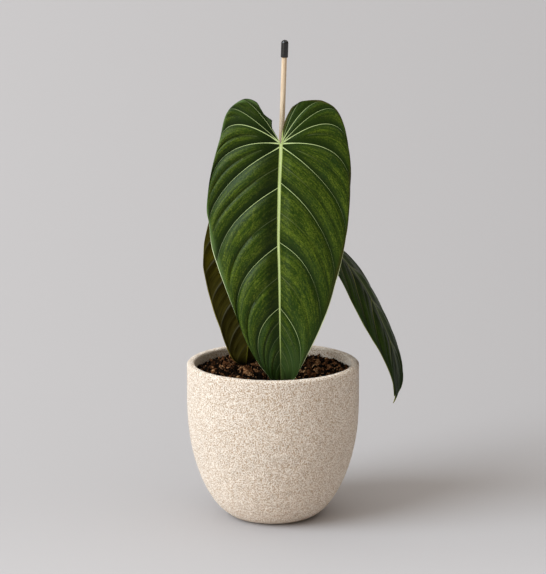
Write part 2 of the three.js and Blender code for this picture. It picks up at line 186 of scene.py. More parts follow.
def turned(profile: Outline, sides: int) -> np.ndarray:
    """Turns a profile about the vertical axis.

    Args:
        profile: Pairs of radius and height. The first and last lie on the axis.
        sides: Corners in each ring.

    Returns:
        Its points: a pole, the rings and the other pole.
    """
    angles = np.arange(sides) * 2 * math.pi / sides
    rings = [(radius * math.cos(a), radius * math.sin(a), z) for radius, z in profile[1:-1] for a in angles]
    return np.array([(0.0, 0.0, profile[0][1]), *rings, (0.0, 0.0, profile[-1][1])])


def make_piece(name: str, points: np.ndarray, faces: list, material: Material,
               replaces: tuple[str, ...] = (), layers: dict | None = None, crease: float = 50) -> Object:
    """Makes a finished piece that rides on the root body.

    Args:
        name: The piece's name.
        points: Its corners in mm, as rows of x, y and z.
        faces: Its faces, as lists of corner numbers.
        material: Its finish.
        replaces: CAD nodes that it stands for.
        layers: Attribute vectors by Layer, one row for each corner.
        crease: Least angle in degrees that stays a sharp edge.

    Returns:
        The object.
    """
    mesh = bpy.data.meshes.new(name)
    mesh.from_pydata((np.asarray(points) * MM).tolist(), [], faces)
    for layer, values in (layers or {}).items():
        attribute = mesh.attributes.new(layer.value, "FLOAT_VECTOR", "POINT")
        attribute.data.foreach_set("vector", np.asarray(values, dtype=np.float32).ravel())
    mesh.shade_smooth()
    mesh.set_sharp_from_angle(angle=math.radians(crease))
    mesh.materials.append(material)
    return place_piece(name, mesh, replaces)


def place_piece(name: str, mesh: Mesh, replaces: tuple[str, ...] = ()) -> Object:
    """Puts a finished mesh in the scene as a piece of the root body.

    Args:
        name: The piece's name.
        mesh: Its mesh, with its material.
        replaces: CAD nodes that it stands for.

    Returns:
        The object.
    """
    piece = bpy.data.objects.new(name, mesh)
    bpy.context.scene.collection.objects.link(piece)
    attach(piece, "root")
    if replaces:
        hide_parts(*replaces)
    log.info("%s: %d faces", name, len(mesh.polygons))
    return piece


def grown_mesh(name: str, source: Mesh, tree: NodeTree, values: dict) -> Mesh:
    """Runs a Geometry Nodes tree over a mesh and keeps the result as a plain mesh.

    Args:
        name: Name of the new mesh.
        source: The mesh that goes in.
        tree: The tree.
        values: Its inputs, by name.

    Returns:
        The new mesh.
    """
    carrier = bpy.data.objects.new(name + "_carrier", source)
    bpy.context.scene.collection.objects.link(carrier)
    modifier = carrier.modifiers.new("grow", "NODES")
    modifier.node_group = tree
    for item in tree.interface.items_tree:
        if item.in_out == "INPUT" and item.name in values:
            modifier[item.identifier] = values[item.name]
    graph = bpy.context.evaluated_depsgraph_get()
    mesh = bpy.data.meshes.new_from_object(carrier.evaluated_get(graph), preserve_all_data_layers=True,
                                           depsgraph=graph)
    mesh.name = name
    carrier.modifiers.remove(modifier)
    bpy.data.objects.remove(carrier)
    return mesh


def new_growth_tree(name: str, sockets: dict[str, str]) -> tuple[NodeTree, Callable, NodeOutputs]:
    """Starts a Geometry Nodes tree with its named inputs.

    Args:
        name: The tree's name.
        sockets: Socket types by input name, after the geometry.

    Returns:
        The tree, add_node for it, and its inputs by name.
    """
    tree = bpy.data.node_groups.new(name, "GeometryNodeTree")
    tree.interface.new_socket("Geometry", in_out="INPUT", socket_type="NodeSocketGeometry")
    tree.interface.new_socket("Geometry", in_out="OUTPUT", socket_type="NodeSocketGeometry")
    for socket, kind in sockets.items():
        tree.interface.new_socket(socket, in_out="INPUT", socket_type=kind)
    add = partial(add_node, tree)
    return tree, add, add("NodeGroupInput").outputs


def end_growth_tree(add: Callable, geometry: Node, material: NodeSocket) -> None:
    """Ends a Geometry Nodes tree: real geometry, shaded smooth, with its material.

    Args:
        add: Adds a node to the tree.
        geometry: The node whose geometry comes out.
        material: The input that holds the material.
    """
    real = add("GeometryNodeRealizeInstances", {0: geometry})
    shaded = add("GeometryNodeSetShadeSmooth", {"Geometry": real})
    dressed = add("GeometryNodeSetMaterial", {"Geometry": shaded, "Material": material})
    add("NodeGroupOutput", {0: dressed})


@dataclass(frozen=True)
class Stoneware:
    """Unglazed grogged stoneware: a matte cream body with sandy grains and small brown specks."""

    clay: str = "bca184"
    pale_grog: str = "f4eadd"
    brown_speck: str = "94704c"
    inner_tint: str = "94805a"
    grog_mm: float = 0.88
    speck_mm: float = 1.9
    mottle_mm: float = 5.0

    def material(self) -> Material:
        """Makes the finish."""
        material, add = new_material("stoneware_grogged_matte")
        place = add("ShaderNodeTexCoord").outputs["Object"]
        # Grog is the crushed fired clay in the body: a grain of it is just under 1 mm
        grog = add("ShaderNodeTexNoise", {"Vector": place, "Scale": 1 / (self.grog_mm * MM), "Detail": 1.0,
                                          "Roughness": 0.6})
        specks = add("ShaderNodeTexVoronoi", {"Vector": place, "Scale": 1 / (self.speck_mm * MM)})
        chance = add("ShaderNodeSeparateXYZ", {0: specks.outputs["Color"]}).outputs["X"]
        mottle = add("ShaderNodeTexNoise", {"Vector": place, "Scale": 1 / (self.mottle_mm * MM),
                                            "Detail": 3.0})
        pale = add("ShaderNodeMapRange", {"Value": grog, "From Min": 0.4, "From Max": 0.56})
        body = add("ShaderNodeMix", {0: pale, 6: linear(self.clay), 7: linear(self.pale_grog)},
                   data_type="RGBA")
        round_speck = add("ShaderNodeMapRange", {"Value": specks, "From Min": 0.34, "From Max": 0.14})
        chosen = add("ShaderNodeMapRange", {"Value": chance, "From Min": 0.5, "From Max": 1.0,
                                            "To Max": 0.5})
        dark = add("ShaderNodeMath", {0: round_speck, 1: chosen}, operation="MULTIPLY")
        specked = add("ShaderNodeMix", {0: dark, 6: body, 7: linear(self.brown_speck)}, data_type="RGBA")
        shade = add("ShaderNodeMapRange", {"Value": mottle, "From Min": 0.3, "From Max": 0.7,
                                           "To Min": 0.95, "To Max": 1.04})
        # Painted light: the clay is made a little paler towards the foot, standing in for light from below
        high = add("ShaderNodeSeparateXYZ", {0: place}).outputs["Z"]
        foot = add("ShaderNodeMapRange", {"Value": high, "From Min": 62 * MM, "From Max": 8 * MM,
                                          "To Min": 1.0, "To Max": 1.12})
        toned = add("ShaderNodeVectorMath", {0: specked, 1: shade}, operation="MULTIPLY")
        toned = add("ShaderNodeVectorMath", {0: toned, 1: foot}, operation="MULTIPLY")
        # The wall just inside the rim is tinted darker and browner
        level = add("ShaderNodeVectorMath", {0: place, 1: (1.0, 1.0, 0.0)}, operation="MULTIPLY")
        reach = add("ShaderNodeVectorMath", {0: level}, operation="LENGTH").outputs["Value"]
        within = add("ShaderNodeMapRange", {"Value": reach, "From Min": 64.8 * MM, "From Max": 63.9 * MM})
        above = add("ShaderNodeMapRange", {"Value": high, "From Min": 96 * MM, "From Max": 100 * MM,
                                           "To Max": 0.14})
        inner = add("ShaderNodeMath", {0: within, 1: above}, operation="MULTIPLY")
        colour = add("ShaderNodeMix", {0: inner, 6: toned, 7: linear(self.inner_tint)}, data_type="RGBA")
        sunk = add("ShaderNodeMath", {0: grog, 1: dark}, operation="SUBTRACT")
        relief = add("ShaderNodeBump", {"Height": sunk, "Strength": 1.0, "Distance": 0.85 * MM})
        shader = add("ShaderNodeBsdfPrincipled", {"Base Color": colour, "Roughness": 0.8,
                                                  "Specular IOR Level": 0.45, "Diffuse Roughness": 0.6,
                                                  "Normal": relief})
        add("ShaderNodeOutputMaterial", {"Surface": shader})
        return material


@dataclass(frozen=True)
class PottingSoil:
    """Damp peat and bark mix: near-black gaps between red-brown crumbs, each its own tone."""

    peat: str = "0b0602"
    bark: str = "744a2c"
    fibre: str = "b08a62"
    grain_mm: float = 1.4

    def material(self) -> Material:
        """Makes the finish."""
        material, add = new_material("peat_and_bark_soil")
        place = add("ShaderNodeTexCoord").outputs["Object"]
        tone = add("ShaderNodeAttribute", attribute_name=Layer.TONE.value)
        grain = add("ShaderNodeTexNoise", {"Vector": place, "Scale": 1 / (self.grain_mm * MM),
                                           "Detail": 4.0})
        mixed = add("ShaderNodeMath", {0: tone.outputs["Fac"], 1: grain}, operation="MULTIPLY")
        brown = add("ShaderNodeMapRange", {"Value": mixed, "From Min": 0.18, "From Max": 0.48})
        crumb = add("ShaderNodeMix", {0: brown, 6: linear(self.peat), 7: linear(self.bark)},
                    data_type="RGBA")
        strands = add("ShaderNodeMapRange", {"Value": mixed, "From Min": 0.42, "From Max": 0.56})
        colour = add("ShaderNodeMix", {0: strands, 6: crumb, 7: linear(self.fibre)}, data_type="RGBA")
        relief = add("ShaderNodeBump", {"Height": grain, "Strength": 0.8, "Distance": 0.5 * MM})
        shader = add("ShaderNodeBsdfPrincipled", {"Base Color": colour, "Roughness": 0.95,
                                                  "Specular IOR Level": 0.06, "Normal": relief})
        add("ShaderNodeOutputMaterial", {"Surface": shader})
        return material


@dataclass(frozen=True)
class SandedRamin:
    """Sanded ramin dowel: a pale straight-grained wood with short brown pores along it."""

    sapwood: str = "e6d0b2"
    late_wood: str = "bf9c74"
    grain_mm: float = 0.7
    pore_length_mm: float = 26.0

    def material(self) -> Material:
        """Makes the finish."""
        material, add = new_material("ramin_sanded")
        place = add("ShaderNodeTexCoord").outputs["Object"]
        stretch = (1 / (self.grain_mm * MM), 1 / (self.grain_mm * MM), 1 / (self.pore_length_mm * MM))
        along = add("ShaderNodeMapping", {"Vector": place, "Scale": stretch})
        grain = add("ShaderNodeTexNoise", {"Vector": along, "Scale": 1.0, "Detail": 3.0, "Distortion": 0.4})
        band = add("ShaderNodeMapRange", {"Value": grain, "From Min": 0.42, "From Max": 0.7})
        colour = add("ShaderNodeMix", {0: band, 6: linear(self.sapwood), 7: linear(self.late_wood)},
                     data_type="RGBA")
        relief = add("ShaderNodeBump", {"Height": grain, "Strength": 0.4, "Distance": 0.08 * MM})
        shader = add("ShaderNodeBsdfPrincipled", {"Base Color": colour, "Roughness": 0.55,
                                                  "Normal": relief})
        add("ShaderNodeOutputMaterial", {"Surface": shader})
        return material


@dataclass(frozen=True)
class DippedVinyl:
    """Dip-moulded black vinyl: smooth and slightly oily, with a soft broad highlight."""

    black: str = "0a0a0a"
    dust: str = "181817"

    def material(self) -> Material:
        """Makes the finish."""
        material, add = new_material("vinyl_dipped_black")
        place = add("ShaderNodeTexCoord").outputs["Object"]
        film = add("ShaderNodeTexNoise", {"Vector": place, "Scale": 1 / (3.5 * MM), "Detail": 3.0})
        worn = add("ShaderNodeMapRange", {"Value": film, "From Min": 0.5, "From Max": 0.8, "To Max": 0.5})
        colour = add("ShaderNodeMix", {0: worn, 6: linear(self.black), 7: linear(self.dust)},
                     data_type="RGBA")
        gloss = add("ShaderNodeMapRange", {"Value": film, "To Min": 0.2, "To Max": 0.28})
        relief = add("ShaderNodeBump", {"Height": film, "Strength": 0.25, "Distance": 0.1 * MM})
        shader = add("ShaderNodeBsdfPrincipled", {"Base Color": colour, "Roughness": gloss, "IOR": 1.53,
                                                  "Specular IOR Level": 0.55, "Normal": relief})
        add("ShaderNodeOutputMaterial", {"Surface": shader})
        return material


@dataclass(frozen=True)
class StalkSkin:
    """Living stalk: smooth waxy green skin with fine lengthwise ribs and small pale lenticels."""

    name: str = "stalk_skin"
    green: str = "6f8040"
    bronze: str = "7c6a3c"
    lenticel: str = "b9b782"

    def material(self) -> Material:
        """Makes the finish."""
        material, add = new_material(self.name)
        place = add("ShaderNodeTexCoord").outputs["Object"]
        long = add("ShaderNodeMapping", {"Vector": place, "Scale": (1 / MM, 1 / MM, 0.06 / MM)})
        rib = add("ShaderNodeTexNoise", {"Vector": long, "Scale": 0.9, "Detail": 2.0})
        patch = add("ShaderNodeTexNoise", {"Vector": place, "Scale": 1 / (22 * MM), "Detail": 2.0})
        warm = add("ShaderNodeMapRange", {"Value": patch, "From Min": 0.42, "From Max": 0.66})
        skin = add("ShaderNodeMix", {0: warm, 6: linear(self.green), 7: linear(self.bronze)},
                   data_type="RGBA")
        dots = add("ShaderNodeTexVoronoi", {"Vector": place, "Scale": 1 / (2.4 * MM)})
        spots = add("ShaderNodeMapRange", {"Value": dots, "From Min": 0.2, "From Max": 0.08, "To Max": 0.7})
        colour = add("ShaderNodeMix", {0: spots, 6: skin, 7: linear(self.lenticel)}, data_type="RGBA")
        relief = add("ShaderNodeBump", {"Height": rib, "Strength": 0.5, "Distance": 0.2 * MM})
        shader = add("ShaderNodeBsdfPrincipled", {"Base Color": colour, "Roughness": 0.42,
                                                  "Normal": relief})
        add("ShaderNodeOutputMaterial", {"Surface": shader})
        return material


@dataclass(frozen=True)
class LeafSkin:
    """Velvet leaf blade: dark green with a gold-olive grain along its side veins, and pale veins.

    The upper face has a fine nap, so it takes a soft grey sheen where it turns from the eye. The names
    that start with under are the underside's colours, and the others the upper face's. Each pair of
    sizes runs across and along the side veins. A side vein's line starts vein_mm wide to each side, and
    minor is how clear the minor veins are.
    """

    name: str
    deep: str
    body: str
    crest: str
    cool: str
    # pale is the colour of the painted light at the tip and along the upper margin
    pale: str
    speck: str
    vein: str
    rib: str
    margin: str
    bronze: str
    under: str
    under_gold: str
    under_vein: str
    under_rib: str
    under_margin: str
    pith: str
    drip: str
    vein_mm: float = 0.34
    minor: float = 0.12
    grain_mm: tuple[float, float] = (1.2, 26.0)
    fleck_mm: tuple[float, float] = (0.7, 3.0)
    swath_mm: tuple[float, float] = (4.0, 60.0)
    patch_mm: float = 30.0
    cell_mm: float = 0.8
    nap: float = 0.01
    gloss: float = 0.12

    def material(self) -> Material:
        """Makes the finish."""
        material, add = new_material(self.name)
        place = add("ShaderNodeTexCoord").outputs["Object"]
        fields = []
        for layer in LEAF_LAYERS:
            field = add("ShaderNodeAttribute", attribute_name=layer.value)
            fields.append(add("ShaderNodeSeparateXYZ", {0: field.outputs["Vector"]}).outputs)
        off_vein, off_rib, off_margin = fields[0]
        across, outward, strength = fields[1]
        swell, share, beneath = fields[2]
        # Its second value is painted shade beside the side veins and before the minor veins
        off_minor, furrow, core = fields[3]
        lay = add("ShaderNodeCombineXYZ", {"X": across, "Y": outward})

        # The tissue lies in fine bands along the side veins. Its cells glint gold, one by one
        noise = {}
        for name, source, size, detail in (
            ("bands", lay, self.grain_mm, 4.0),
            ("flecks", lay, self.fleck_mm, 1.0),
            ("swaths", lay, self.swath_mm, 2.0),
            ("patches", place, (self.patch_mm * MM, self.patch_mm * MM), 2.0),
            ("cells", place, (self.cell_mm * MM, self.cell_mm * MM), 1.0),
        ):
            scaled = add("ShaderNodeVectorMath", {0: source, 1: (1 / size[0], 1 / size[1], 1 / size[1])},
                         operation="MULTIPLY")
            noise[name] = add("ShaderNodeTexNoise", {"Vector": scaled, "Scale": 1.0, "Detail": detail,
                                                     "Roughness": 0.6})
        ramp = {}
        for name, value, start, end, low, high in (
            ("cool_patch", noise["patches"], 0.5, 0.68, 0.0, 0.35),
            ("painted_tip_shade", share, 0.5, 0.95, 0.0, 0.7),
            ("golden", noise["bands"], 0.4, 0.62, 0.0, 0.9),
            ("swollen", swell, 0.0, 0.6, 0.0, 1.0),
            ("swathed", noise["swaths"], 0.4, 0.6, 0.5, 1.0),
            ("flecked", noise["flecks"], 0.5, 0.72, 0.0, 0.35),
            ("glinting", noise["cells"], 0.52, 0.72, 0.0, 0.6),
            ("pitted", noise["cells"], 0.5, 0.34, 0.0, 0.5),
            # Painted shade: darker along the crease of each minor vein
            ("painted_groove_shade", off_minor, 2.8, 0.2, 0.0, 0.35),
            ("thread", off_minor, 0.45, 0.1, 0.0, self.minor),
            ("thread_out", outward, 2.0, 34.0, 1.0, 0.0),
            ("inside", off_margin, 3.0, 14.0, 0.0, 1.0),
            ("narrowing", outward, 0.0, 60.0, self.vein_mm, 0.42 * self.vein_mm),
            ("webbing", core, 13.0, 2.0, 1.0, 2.2),
            ("vein_end", off_margin, 1.0, 20.0, 0.3, 1.0),
            ("vein_out", outward, 8.0, 55.0, 1.0, 0.55),
            ("under_line", off_vein, 2.0, 0.3, 0.0, 0.8),
            ("under_edge", off_margin, 1.8, 0.6, 0.0, 1.0),
            ("under_dark", off_margin, 5.0, 1.5, 1.0, 0.45),
            ("drip", share, 0.95, 0.985, 0.0, 0.9),
            ("right_half", across, 299.0, 301.0, 1.0, 0.0),
            ("left_half", across, 299.0, 301.0, 0.0, 1.0),
            ("near_edge", off_margin, 12.0, 2.5, 0.0, 0.95),
            ("by_rib", off_rib, 20.0, 6.0, 0.0, 0.7),
            ("far_down", share, 0.75, 0.95, 0.0, 0.35),
            ("high", share, 0.5, 0.2, 0.2, 1.0),
            ("edge_tan", off_margin, 11.0, 1.0, 0.0, 0.8),
            ("upper_part", share, 0.75, 0.35, 0.0, 1.0),
            ("lower_part", share, 0.12, 0.4, 0.0, 1.0),
            ("edge", off_margin, 1.4, 0.55, 0.0, 1.0),
            ("stout", off_rib, 1.1, 0.75, 0.0, 1.0),
            ("rib_core", off_rib, 0.7, 0.2, 0.0, 0.6),
            ("rib_end", share, 0.55, 0.9, 1.0, 0.45),
            ("under_tone", noise["bands"], 0.3, 0.7, 0.6, 1.4),
            ("under_patch", noise["patches"], 0.35, 0.55, 0.35, 1.0),
            ("satin", noise["bands"], 0.2, 0.8, 0.3, 0.38),
            ("dull", beneath, 0.0, 1.0, 0.0, 0.4),
        ):
            ramp[name] = add("ShaderNodeMapRange", {"Value": value, "From Min": start, "From Max": end,
                                                    "To Min": low, "To Max": high},
                             interpolation_type="SMOOTHSTEP")
        mask = {}
        # The cool tone comes in random patches of the tissue's own colour, and as painted shade that grows
        # towards the tip
        mask["cool"] = add("ShaderNodeMath", {0: ramp["cool_patch"], 1: ramp["painted_tip_shade"]},
                           operation="MAXIMUM")
        mask["warm"] = add("ShaderNodeMath", {0: 1.0, 1: mask["cool"]}, operation="SUBTRACT")
        # A side vein narrows and fades outward, and widens where it meets the midrib
        mask["width"] = add("ShaderNodeMath", {0: ramp["narrowing"], 1: ramp["webbing"]},
                            operation="MULTIPLY")
        mask["core"] = add("ShaderNodeMath", {0: mask["width"], 1: 0.3}, operation="MULTIPLY")
        mask["line"] = add("ShaderNodeMapRange", {"Value": off_vein, "From Min": mask["width"],
                                                  "From Max": mask["core"]},
                           interpolation_type="SMOOTHSTEP")
        for name, factors in (
            ("gold", (mask["warm"], ramp["golden"], ramp["swathed"], ramp["swollen"])),
            ("sparks", (mask["warm"], ramp["flecked"], ramp["swollen"])),
            ("glints", (mask["warm"], ramp["glinting"], ramp["golden"], ramp["swollen"])),
            ("rib_shade", (ramp["by_rib"], ramp["left_half"])),
            # Painted sheen: the left half is paler along its upper margin
            ("painted_edge_sheen", (ramp["near_edge"], ramp["upper_part"], ramp["left_half"])),
            # Painted light: the right half is paler near the tip
            ("painted_tip_light", (ramp["far_down"], ramp["right_half"])),
            ("painted_groove_shade", (ramp["painted_groove_shade"], ramp["inside"])),
            ("thread", (ramp["thread"], ramp["inside"], ramp["thread_out"])),
            ("vein", (mask["line"], ramp["vein_end"], ramp["vein_out"], strength)),
            ("tan", (ramp["edge_tan"], ramp["upper_part"], ramp["right_half"])),
            ("pale_edge", (ramp["edge"], ramp["lower_part"])),
            ("rib", (ramp["stout"], ramp["rib_end"])),
            ("rib_core", (ramp["rib_core"], ramp["rib_end"])),
            ("under_gold", (ramp["under_patch"], ramp["high"])),
            ("under_line", (ramp["under_line"], ramp["vein_end"], strength)),
        ):
            product = factors[0]
            for factor in factors[1:]:
                product = add("ShaderNodeMath", {0: product, 1: factor}, operation="MULTIPLY")
            mask[name] = product

        colour = linear(self.body)
        # Each tone is laid over the ones before it, from the tissue up to the veins and the margin
        for amount, tone in (
            (mask["cool"], self.cool), (mask["gold"], self.crest), (mask["sparks"], self.speck),
            (ramp["pitted"], self.deep), (mask["glints"], self.speck), (mask["painted_groove_shade"], self.deep),
            (mask["painted_tip_light"], self.pale), (mask["painted_edge_sheen"], self.pale), (mask["rib_shade"], self.deep),
            (furrow, self.deep), (mask["thread"], self.vein), (mask["vein"], self.vein),
            (mask["tan"], self.bronze), (ramp["edge"], self.deep), (mask["pale_edge"], self.margin),
            (mask["rib"], self.rib), (mask["rib_core"], self.pith), (ramp["drip"], self.drip),
        ):
            colour = add("ShaderNodeMix", {0: amount, 6: colour, 7: linear(tone)}, data_type="RGBA")
        below = add("ShaderNodeMix", {0: mask["under_gold"], 6: linear(self.under),
                                      7: linear(self.under_gold)}, data_type="RGBA")
        for shading in (ramp["under_tone"], ramp["under_dark"]):
            below = add("ShaderNodeVectorMath", {0: below, 1: shading}, operation="MULTIPLY")
        for amount, tone in ((mask["under_line"], self.under_vein), (mask["rib"], self.under_rib),
                             (ramp["under_edge"], self.under_margin)):
            below = add("ShaderNodeMix", {0: amount, 6: below, 7: linear(tone)}, data_type="RGBA")
        shown = add("ShaderNodeMix", {0: beneath, 6: colour, 7: below}, data_type="RGBA")

        height = add("ShaderNodeMath", {0: noise["bands"], 1: noise["cells"]}, operation="ADD")
        relief = add("ShaderNodeBump", {"Height": height, "Strength": 0.7, "Distance": 0.25 * MM})
        rough = add("ShaderNodeMath", {0: ramp["satin"], 1: ramp["dull"]}, operation="ADD")
        shader = add("ShaderNodeBsdfPrincipled", {"Base Color": shown, "Roughness": rough, "IOR": 1.4,
                                                  "Specular IOR Level": self.gloss,
                                                  "Sheen Weight": self.nap, "Sheen Roughness": 0.35,
                                                  "Sheen Tint": linear("bccad0"), "Normal": relief})
        add("ShaderNodeOutputMaterial", {"Surface": shader})
        return material


@dataclass
class Pot:
    """The turned pot: straight at its lip, and drawn in by a soft curve to a small flat base."""

    radius: float = 70.2
    height: float = 128.0
    wall: float = 6.5
    floor: float = 9.0
    base_radius: float = 31.0
    curve_top: float = 95.0
    curve_rise: float = 2.05
    curve_spread: float = 1.67
    lip_outer: float = 2.6
    lip_inner: float = 2.1
    wave_mm: float = 26.0
    grog_mm: float = 7.0
    relief_mm: float = 0.5
    sides: int = 384
    finish: Stoneware = Stoneware()

    def radius_at(self, z: np.ndarray) -> np.ndarray:
        """Gives the outside radius at a height."""
        down = np.maximum(0, 1 - np.asarray(z) / self.curve_top)
        spread = (1 - down ** self.curve_rise) ** (1 / self.curve_spread)
        return self.base_radius + (self.radius - self.base_radius) * spread

    def lip(self, centre: float, size: float, start: float, end: float, steps: int) -> Outline:
        """Points of a quarter round of the lip.

        Args:
            centre: Radius of its centre.
            size: Its own radius.
            start: First angle in degrees, up from outward.
            end: Last angle in degrees.
            steps: Number of steps between them.

        Returns:
            Pairs of radius and height.
        """
        angles = np.radians(np.linspace(start, end, steps + 1))
        middle = self.height - size
        return [(centre + size * math.cos(a), middle + size * math.sin(a)) for a in angles]

    def profile(self) -> Outline:
        """Gives the turned outline from the middle of the base round to the middle of the floor."""
        rise = self.curve_top * np.linspace(0, 1, 84) ** 1.8
        outside = [(float(self.radius_at(z)), float(z)) for z in rise]
        outside[0] = (self.base_radius, 0.0)
        shoulder = np.linspace(self.curve_top, self.height - self.lip_outer, 24)[1:-1]
        straight = [(self.radius, float(z)) for z in shoulder]
        outer = self.lip(self.radius - self.lip_outer, self.lip_outer, 0, 90, 8)
        inner = self.lip(self.radius - self.wall + self.lip_inner, self.lip_inner, 90, 180, 7)
        levels = (118.0, 108.0, 95.0, 80.0, 60.0, 42.0, 22.0, self.floor)
        inside = [(float(self.radius_at(z)) - self.wall, z) for z in levels]
        foot = [(self.base_radius * share, 0.0) for share in (0, 0.25, 0.5, 0.75, 0.93)]
        return foot + outside + straight + outer + inner + inside + [(10.0, self.floor), (0.0, self.floor)]

    def relief_tree(self) -> NodeTree:
        """Makes the tree that roughens the turned wall: a low hand-finished relief with coarse grog."""
        tree, add, given = new_growth_tree("grog_relief", {
            "Wave size": "NodeSocketFloat", "Grog size": "NodeSocketFloat",
            "Depth": "NodeSocketFloat", "Material": "NodeSocketMaterial"})
        place = add("GeometryNodeInputPosition")
        facing = add("GeometryNodeInputNormal")
        amounts = []
        for size in ("Wave size", "Grog size"):
            often = add("ShaderNodeMath", {0: 1.0, 1: given[size]}, operation="DIVIDE")
            noise = add("ShaderNodeTexNoise", {"Vector": place, "Scale": often, "Detail": 2.0})
            centred = add("ShaderNodeMath", {0: noise, 1: 0.56}, operation="SUBTRACT")
            amounts.append(add("ShaderNodeMath", {0: centred, 1: given["Depth"]}, operation="MULTIPLY"))
        amount = add("ShaderNodeMath", {0: amounts[0], 1: amounts[1]}, operation="ADD")
        height = add("ShaderNodeSeparateXYZ", {0: place}).outputs["Z"]
        lifted = add("ShaderNodeMapRange", {"Value": height, "From Min": 0.3 * MM, "From Max": 3 * MM})
        held = add("ShaderNodeMath", {0: amount, 1: lifted}, operation="MULTIPLY")
        shift = add("ShaderNodeVectorMath", {0: facing, "Scale": held}, operation="SCALE")
        moved = add("GeometryNodeSetPosition", {"Geometry": given["Geometry"], "Offset": shift})
        end_growth_tree(add, moved, given["Material"])
        return tree

    def build(self) -> None:
        """Makes the pot."""
        profile = self.profile()
        mesh = bpy.data.meshes.new("stoneware_pot_turned")
        faces = ring_faces(len(profile) - 2, self.sides)
        mesh.from_pydata((turned(profile, self.sides) * MM).tolist(), [], faces)
        values = {"Wave size": self.wave_mm * MM, "Grog size": self.grog_mm * MM,
                  "Depth": self.relief_mm * MM, "Material": self.finish.material()}
        rough = grown_mesh("stoneware_pot", mesh, self.relief_tree(), values)
        place_piece("stoneware_pot", rough, ("pot",))


@dataclass(frozen=True)
class Hollow:
    """A dip in the soil under a resting leaf tip."""

    x: float
    y: float
    radius: float
    depth: float


@dataclass(frozen=True)
class Crumbs:
    """One size of loose crumb: how far apart its crumbs lie, and how large they are."""

    name: str
    spacing: float
    least: float
    most: float
    detail: int
    seed: int


